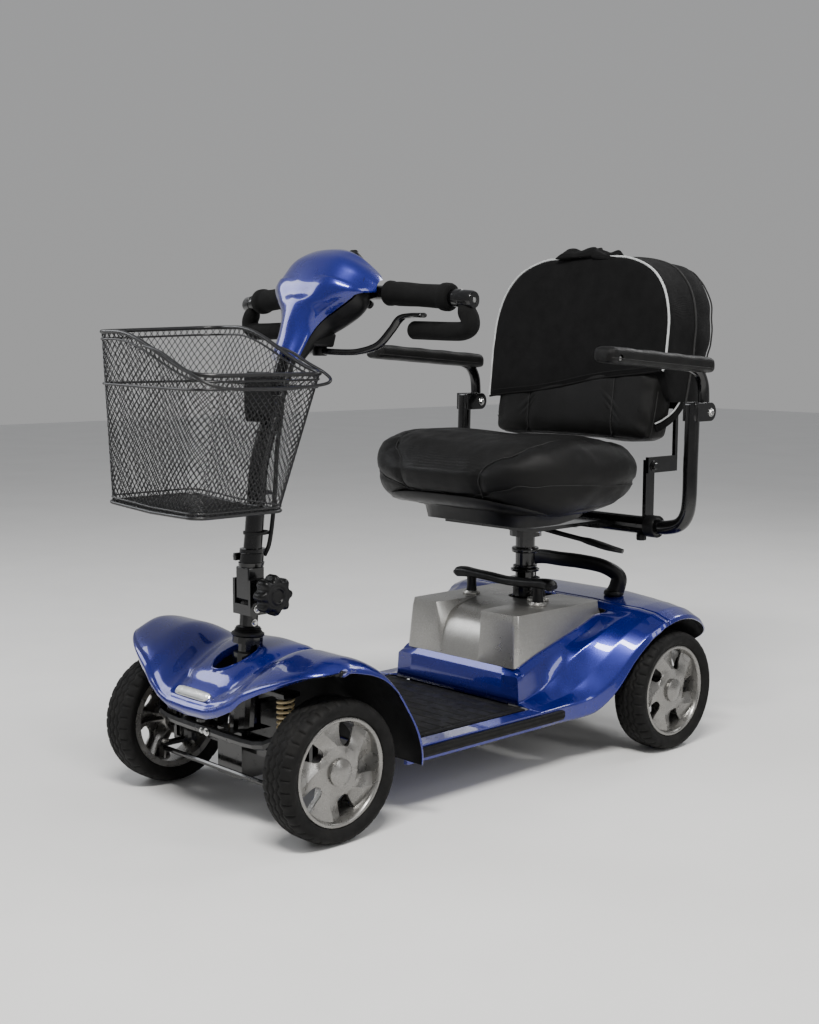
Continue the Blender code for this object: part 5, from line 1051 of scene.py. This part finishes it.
def puff(o, pressure, frames_, cap, voxel=.006):
    """Swell a cushion with cloth pressure, capped, then relax; the mesh stays closed."""
    rest = np.array([v.co for v in o.data.vertices], float).reshape(-1, 3)
    sim = D.objects.new(o.name + "_sim", o.data.copy()); bpy.context.scene.collection.objects.link(sim)
    r = sim.modifiers.new("vox", 'REMESH'); r.mode = 'VOXEL'; r.voxel_size = voxel; apply_all(sim)
    start = np.array([v.co for v in sim.data.vertices], float).reshape(-1, 3)
    c = sim.modifiers.new("cloth", 'CLOTH'); st = c.settings
    st.use_pressure = True; st.uniform_pressure_force = pressure; st.effector_weights.gravity = 0; st.quality = 4; st.mass = .3
    st.tension_stiffness = 12; st.compression_stiffness = 12; st.bending_stiffness = .6
    c.collision_settings.use_collision = False; c.collision_settings.use_self_collision = False
    sc = bpy.context.scene
    for fr in range(1, frames_ + 1): sc.frame_set(fr)
    dg = bpy.context.evaluated_depsgraph_get(); ev = sim.evaluated_get(dg)
    moved = np.array([v.co for v in ev.data.vertices], float).reshape(-1, 3)
    sc.frame_set(1)
    d = moved - start; L_ = np.linalg.norm(d, axis=1, keepdims=True); d = d * np.minimum(1, cap / np.maximum(L_, 1e-9))
    # carry the swelling back to the fine mesh
    from mathutils.kdtree import KDTree
    kd = KDTree(len(start))
    for i, p in enumerate(start): kd.insert(p, i)
    kd.balance()
    new = []
    for p in rest:
        w = 0; acc_ = np.zeros(3)
        for co, i, dist in kd.find_n(p, 6):
            k = 1 / (dist + .002); acc_ += d[i] * k; w += k
        new.append(p + acc_ / w)
    D.objects.remove(sim, do_unlink=True)
    o.data.vertices.foreach_set("co", np.array(new, np.float32).ravel()); o.data.update()
    return o

def snap(o, line, n):
    """A seam: a smooth route laid on the surface of o, row frame."""
    bvh = BVHTree.FromObject(o, bpy.context.evaluated_depsgraph_get())
    out = []
    for p in path([Vector((x, y + SH, z)) for x, y, z in line], n):
        loc, nor, _, _ = bvh.find_nearest(p); out.append((loc, nor))
    # even out the steps
    L0 = [q[0] for q in out]
    for _ in range(40):
        L0 = [L0[0]] + [(L0[i - 1] + L0[i] * 2 + L0[i + 1]) / 4 for i in range(1, len(L0) - 1)] + [L0[-1]]
    res = []
    for p in L0:
        loc, nor, _, _ = bvh.find_nearest(p); res.append((p.lerp(loc, .5), nor))
    return res
def groove(o, lines, depth, width, puffh=0.0, reach=.03):
    P = np.array([p[0] for l in lines for p in l], float)
    co = np.array([v.co for v in o.data.vertices], float).reshape(-1, 3)
    nn = np.array([v.normal for v in o.data.vertices], float).reshape(-1, 3)
    d = np.full(len(co), 9.0)
    for i in range(0, len(P), 200):
        dd = np.linalg.norm(co[:, None, :] - P[None, i:i + 200, :], axis=2).min(axis=1); d = np.minimum(d, dd)
    disp = -depth * np.exp(-(d / width) ** 2) + puffh * (1 - np.exp(-(d / reach) ** 2)) * np.exp(-(d / (3 * reach)) ** 2)
    co = co + nn * disp[:, None]
    o.data.vertices.foreach_set("co", co.astype(np.float32).ravel()); o.data.update()
def seam_tube(name, pts, r, mat, body, lift=0.0, seg=8, closed=False):
    P = [Vector(p[0]) + Vector(p[1]) * lift - Vector((0, SH, 0)) for p in pts]
    return piece(name, *tube(P, r, seg), mat, body, smooth=60)

puff(seat, 3.0, 16, .005)
near = [(.092, .052, .436), (.094, .040, .455), (.095, .034, .478), (.100, .040, .505), (.118, .052, .522), (.145, .078, .532), (.162, .125, .538), (.168, .190, .538), (.168, .260, .530), (.164, .330, .515), (.158, .380, .490)]
far = [(-x, y, z) for x, y, z in near]
lown = [(.093, .048, .444), (.125, .040, .452), (.165, .044, .462), (.198, .060, .470), (.214, .100, .475), (.219, .160, .474), (.2195, .230, .470), (.217, .300, .464), (.208, .360, .456)]
lowf = [(-x, y, z) for x, y, z in lown]
front = [(-.093, .046, .444), (-.05, .042, .440), (0, .041, .439), (.05, .042, .440), (.093, .046, .444)]
lines = [snap(seat, l, 150) for l in (near, far, lown, lowf, front)]
groove(seat, lines, .0032, .0042, .0030, .020)
lines = [snap(seat, l, 150) for l in (near, far, lown, lowf, front)]
sx = [(p[0].x, p[0].y - SH, p[0].z) for p in lines[0]]
mi = []
TY_, TX_ = [q[1] for q in sx if q[2] > .5], [q[0] for q in sx if q[2] > .5]
o_ = np.argsort(TY_); TYs = np.array(TY_)[o_]; TXs = np.array(TX_)[o_]
for p in seat.data.polygons:
    c = p.center; lim = float(np.interp(c.y - SH, TYs, TXs))
    mi.append(1 if (abs(c.x) < lim - .002 and p.normal.z > .35 and c.z > .47) else 0)
seat.data.polygons.foreach_set("material_index", mi); seat.data.update()
for i, l in enumerate(lines): seam_tube("seat_seam_%d" % i, l, .0010 if i < 2 else .0008, THREAD, "seat", .0002)
# stitches beside the seams
def stitches(name, pts, step, off, body, o=None):
    bvh = BVHTree.FromObject(o, bpy.context.evaluated_depsgraph_get())
    m = ([], []); acc_ = 0; last = pts[0][0]
    for i in range(1, len(pts) - 1):
        p, nrm = Vector(pts[i][0]), Vector(pts[i][1]); acc_ += (p - last).length; last = p
        if acc_ < step: continue
        acc_ = 0
        t = (Vector(pts[i + 1][0]) - Vector(pts[i - 1][0])).normalized(); b = t.cross(nrm).normalized()
        q, nn_, _, _ = bvh.find_nearest(p + b * off)
        q = q - Vector((0, SH, 0))
        a_ = q - t * step * .30; c_ = q + t * step * .30
        m = join(m, tube([a_ + nn_ * .0001, q + nn_ * .0006, c_ + nn_ * .0001], .00035, 6))
    return piece(name, *m, THREAD, body, smooth=60)
for i in (0, 1): stitches("seat_stitch_%d" % i, lines[i], .0042, .0040 * (1 if i == 0 else -1), "seat", seat)
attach(seat, "seat"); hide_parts("seat_cushion")
# black underside shell
rings = []
for f, dz in ((.90, .010), (.90, .006), (.88, .001), (.82, -.0015), (.64, -.002), (.62, -.005), (.60, -.025)):
    ring = []
    for q in range(96):
        a = 2 * math.pi * (q + .5) / 96; x, y = sup_pt(a, f * .99); yy = min(max(y, .036), .395)
        ring.append(Vector((x, y + .006 * sstep(.14, .03, y), seat_bot(yy) + dz - .0022)))
    rings.append(ring)
piece("seat_pan_edge", *loft(rings, cap=True), PLAST, "seat", slot="black_plastic", smooth=50)

# ---------------------------------------------------------------- backrest
def back_y(z): return .3715 + (z - .53) * .15
HALF = [(0, .530), (.09, .530), (.150, .530), (.176, .534), (.186, .550), (.191, .62), (.193, .69), (.1885, .740), (.172, .785), (.140, .8205), (.095, .8405), (.045, .8475), (0, .8485)]
def outline(n):
    P = [Vector((x, 0, z)) for x, z in HALF] + [Vector((-x, 0, z)) for x, z in HALF[-2:0:-1]]
    Q = path(P + [P[0]], n + 1)[:-1]
    return Q
OUT = outline(240)
def back_rings(spec, nn=240):
    rings = []
    for d, sc in spec:
        ring = []
        for p in OUT:
            x = p.x * sc; z = .685 + (p.z - .685) * sc
            ring.append(Vector((x, back_y(z) + d, z)))
        rings.append(ring)
    return rings
def crown(sc): return .0045 * (1 - sc ** 2)
spec = [(.0035 - crown(s), s) for s in (.06, .14, .22, .30, .38, .46, .54, .62, .70, .77, .83, .88, .92)] + [(.0045, .955), (.0070, .978), (.0120, .993), (.020, 1.0), (.030, 1.0), (.042, 1.0), (.050, .994), (.0555, .978), (.0580, .95), (.0592, .90)] + [(.0596, s) for s in (.75, .55, .35, .15)]
V, F = loft(back_rings(spec))
back = piece("back_cushion_soft", V, F, LEATHER, None, smooth=180)
puff(back, 2.5, 14, .004, .007)
bl = []
for x in (-.099, .099): bl.append([(x, back_y(z) - .004, z) for z in (.5305, .545, .57, .60, .63, .66, .70)])
pe = [(-.186, back_y(.60) + .016, .62), (-.180, back_y(.56) + .013, .556), (-.160, back_y(.54) + .012, .5355), (0, back_y(.531) + .010, .5320), (.160, back_y(.54) + .012, .5355), (.180, back_y(.56) + .013, .556), (.186, back_y(.60) + .016, .62)]
lines = [snap(back, l, 120) for l in bl] + [snap(back, pe, 220)]
groove(back, lines, .0026, .0036, .0022, .020)
lines = [snap(back, l, 120) for l in bl] + [snap(back, pe, 220)]
for i, l in enumerate(lines): seam_tube("back_seam_%d" % i, l, .0009, THREAD, "backrest", .0003)
for i in (0, 1): stitches("back_stitch_%d" % i, lines[i], .0042, .0036 * (1 if i else -1), "backrest", back)
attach(back, "backrest"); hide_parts("back_cushion")

# bag over the backrest
BH = [(.200, .60), (.2025, .66), (.2035, .70), (.200, .752), (.1835, .799), (.150, .834), (.100, .8535), (.048, .8580), (0, .8585)]
def bag_arc(n):
    P = [Vector((x, 0, z)) for x, z in BH] + [Vector((-x, 0, z)) for x, z in BH[-2::-1]]
    return path(P, n)
NA_, NB_ = 170, 60
ARC = bag_arc(NA_)
def nz(p, sc): return noise.noise(Vector(p) * sc)
def bag_ring(d, sc, zb, zsag=0.0, fold=0.0, noise_=.0015, cx=0.0):
    """d behind the backrest's face; zb(x) is the lower edge."""
    pts = []
    for p in ARC:
        x = cx + p.x * sc; z = .72 + (p.z - .72) * sc
        zl = zb(x)
        s = sstep(.60, .70, p.z)
        z = zl + (z - .60 * 1.0) * 1.0 * 0 + (z if p.z > .66 else lerp(zl, .72 + (.66 - .72) * sc, (p.z - .60) / .06)) - zl
        pts.append((x, z))
    xl, zl = pts[-1]; xr, zr = pts[0]
    for i in range(1, NB_ + 1):
        t = i / (NB_ + 1); x = lerp(xl, xr, t); pts.append((x, zb(x)))
    out = []
    for x, z in pts:
        hgt = (z - .60) / .25
        y = back_y(z) + d
        p = Vector((x, y, z))
        k = noise_ * nz((x, y * .6, z), 16) + fold * .6 * math.sin(z * 60 + 6 * nz((x, 0, z), 9)) * nz((x * .5, y, z), 24)
        c = Vector((x, 0, z - .72)); c = c.normalized() if c.length > 1e-6 else Vector((0, 0, 0))
        out.append(p + c * k + Vector((0, k * .8, -zsag * (1 - hgt))))
    return out
def flap(x): return .598 + (x + .2) * .150 + .0020 * math.sin(x * 26)
def mid_b(x): return .600 + .006 * math.cos(x * 8) + .018 * max(x, 0) / .2 * 0
def rear_b(x): return .598 - .010 * (1 - (x / .2) ** 2)
def shrink_flap(sc):
    z0 = .72
    return lambda x: z0 + (flap(x / max(sc, .05)) - z0) * sc
rings = []
for sc in (.05, .12, .20, .28, .36, .44, .52, .60, .68, .76, .83, .89, .94, .97):
    rings.append(bag_ring(-.0066 - .0035 * (1 - sc ** 2) + (.0012 if sc > .93 else 0), sc, shrink_flap(sc), noise_=.0016))
rings.append(bag_ring(-.0048, .988, shrink_flap(.992), noise_=.0012))
rings.append(bag_ring(-.0015, 1.000, flap, noise_=.0010))
for d, sc in ((.004, 1.004), (.012, 1.004), (.022, 1.001), (.034, .998), (.046, .997), (.058, .999), (.068, 1.002), (.0745, 1.003), (.0775, .999)):
    w = sstep(.0, .030, d)
    zb = (lambda w: lambda x: lerp(flap(x), mid_b(x), w))(w)
    rings.append(bag_ring(d, sc, zb, noise_=.0022, fold=.0012 * w))
for d, sc in ((.0785, .985), (.0795, .972), (.083, .966), (.090, .970), (.100, .974), (.112, .972), (.124, .962), (.136, .945), (.145, .918), (.151, .870)):
    rings.append(bag_ring(d, sc, rear_b, zsag=.004 * sstep(.08, .15, d), noise_=.0045, fold=.0045))
for sc in (.80, .70, .60, .50, .40, .30, .20, .10):
    rings.append(bag_ring(.1535 + .004 * (1 - sc ** 2), sc, (lambda s: lambda x: .72 + (rear_b(x / s) - .72) * s)(sc), zsag=.004, noise_=.0045, fold=.004))
V, F = loft(rings)
bag = piece("bag_shell", V, F, NYLON, None, smooth=180)
lap(bag, 2, .4)
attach(bag, "backrest"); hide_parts("back_bag")
def pipe(name, pts, r, mat, seg=12): return piece(name, *tube(pts, r, seg), mat, "backrest", smooth=60)
r0 = bag_ring(-.0022, 1.0045, flap, noise_=.0010)[:NA_]
pipe("piping_front", [p + Vector((0, 0, 0)) for p in r0], .0021, PIPE)
r1 = bag_ring(.0770, 1.0035, mid_b, noise_=.0022, fold=.0012)[:NA_]
pipe("piping_rear", r1, .0019, THREAD)
r2 = bag_ring(.1460, .925, rear_b, zsag=.004, noise_=.0045, fold=.0045)[:NA_]
pipe("pocket_piping", r2, .0015, THREAD)
hem = [Vector((x, back_y(flap(x)) - .0046, flap(x) + .0006)) for x in [lerp(-.198, .198, i / 80) for i in range(81)]]
pipe("flap_hem", hem, .0020, NYLON)
hem = [Vector((x, back_y(flap(x)) - .0074, flap(x) + .0105)) for x in [lerp(-.190, .190, i / 120) for i in range(121)]]
m = ([], [])
for i in range(0, 119, 2):
    m = join(m, tube([hem[i], (hem[i] + hem[i + 1]) / 2 + Vector((0, -.0004, 0)), hem[i + 1]], .0004, 6))
piece("flap_stitch", *m, THREAD, "backrest", smooth=60)
# zip round the pocket
r3 = bag_ring(.0835, .9700, rear_b, zsag=.001, noise_=.0045, fold=.0045)[:NA_]
m = ([], [])
for i in range(6, NA_ - 6):
    p = r3[i]; t = (r3[i + 1] - r3[i - 1]).normalized(); a_ = p - t * .0006; c_ = p + t * .0006
    m = join(m, tube([a_, c_], .0021, 8))
piece("pocket_zip", *m, PLAST, "backrest", smooth=40)
# crumpled carry tab on the top
rings = []
for i in range(60):
    t = i / 59; x = lerp(-.060, .085, t); h = .0155 * (sstep(0, .10, t) * (1 - sstep(.90, 1, t))) ** .5 * (.75 + .5 * nz((x, 0, 0), 30)) + .0025
    yc = .428 + .006 * math.sin(t * 5) + .010 * (t - .5); wv = .021 * (.8 + .35 * math.sin(t * 4.2 + .5)); ring = []
    for k in range(36):
        a = 2 * math.pi * k / 36; c, s = math.cos(a), math.sin(a)
        y = yc + wv * c; zt = .8560 - .012 * ((x - .0) / .13) ** 2 + (.004 if x < .02 else 0)
        z = zt + h * (s if s > 0 else s * .35) + .0018 * nz((x, y, s), 45) + .0022 * max(s, 0) * math.sin(c * 4 + t * 9)
        ring.append(Vector((x, y, z)))
    rings.append(ring)
piece("bag_tab", *loft(rings), NYLON, "backrest", slot="bag_cloth", smooth=180)
# side straps from the bag to the foot of the backrest
for s, nm in ((1, "L"), (-1, "R")):
    P = path([(s * .1995, .478, .650), (s * .1985, .466, .628), (s * .1965, .455, .600), (s * .1945, .435, .578), (s * .1915, .408, .563), (s * .186, .392, .556)], 50); rings = []
    for i, (p, t, n, b) in enumerate(frames(P)):
        out_ = Vector((s, 0, 0)); sd = t.cross(out_).normalized()
        rings.append([p + sd * .0085 * c + out_ * (.0008 + .0003 * math.sin(i * .9)) * q for c, q in ((-1, -1), (-.9, 1), (-.3, 1.3), (.3, 1.3), (.9, 1), (1, -1), (0, -1.4))])
    piece("bag_strap_" + nm, *loft(rings), NYLON, "backrest", slot="bag_cloth", smooth=50)
    e = []
    for i, (p, t, n, b) in enumerate(frames(P)):
        out_ = Vector((s, 0, 0)); sd = t.cross(out_).normalized(); e.append(p + sd * .0086 * (1 if s > 0 else -1) + out_ * .0012)
    pipe("strap_piping_" + nm, e, .0015, PIPE)

# ---------------------------------------------------------------- stage
fl = D.meshes.new("floor"); fl.from_pydata([(-9, -7, 0), (9, -7, 0), (9, 11, 0), (-9, 11, 0)], [], [(0, 1, 2, 3)])
floor = D.objects.new("floor", fl); bpy.context.scene.collection.objects.link(floor)
fm = material("pale_floor", (.80, .795, .78), .75, 0, var=.02, vscale=3, bump=.05, bscale=400)
fl.materials.append(fm); floor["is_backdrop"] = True
w = bpy.context.scene.world or D.worlds.new("world"); bpy.context.scene.world = w; w.use_nodes = True
bg = w.node_tree.nodes.get("Background"); bg.inputs["Strength"].default_value = .42
wn = w.node_tree; wt = wn.nodes.new("ShaderNodeTexCoord"); wg = wn.nodes.new("ShaderNodeTexGradient"); wm = wn.nodes.new("ShaderNodeMapping"); wr = wn.nodes.new("ShaderNodeValToRGB")
wm.inputs["Rotation"].default_value = (0, math.radians(90), 0)
wn.links.new(wt.outputs["Generated"], wm.inputs["Vector"]); wn.links.new(wm.outputs["Vector"], wg.inputs["Vector"]); wn.links.new(wg.outputs["Fac"], wr.inputs["Fac"]); wn.links.new(wr.outputs["Color"], bg.inputs["Color"])
wr.color_ramp.elements[0].color = (.90, .90, .90, 1); wr.color_ramp.elements[1].color = (.82, .84, .88, 1)
def area(name, loc, target, size, power, color=(1, 1, 1), sy=None):
    l = D.lights.new(name, 'AREA'); l.energy = power; l.size = size; l.color = color
    if sy: l.shape = 'RECTANGLE'; l.size_y = sy
    o = D.objects.new(name, l); bpy.context.scene.collection.objects.link(o)
    o.location = loc; d = Vector(target) - Vector(loc); o.rotation_euler = d.to_track_quat('-Z', 'Y').to_euler()
area("key", (1.1, -1.3, 2.7), (0, 0, .3), 1.3, 105, (1, .985, .96), .35)
area("fill", (-2.2, -1.4, 1.9), (0, 0, .4), 1.2, 26, (.95, .97, 1))
area("rim", (.4, 2.4, 2.3), (0, 0, .5), 1.6, 34, (1, 1, 1), .6)
area("strip", (2.6, .6, 1.5), (0, 0, .4), .5, 16, (1, 1, 1), 1.8)

a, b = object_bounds()
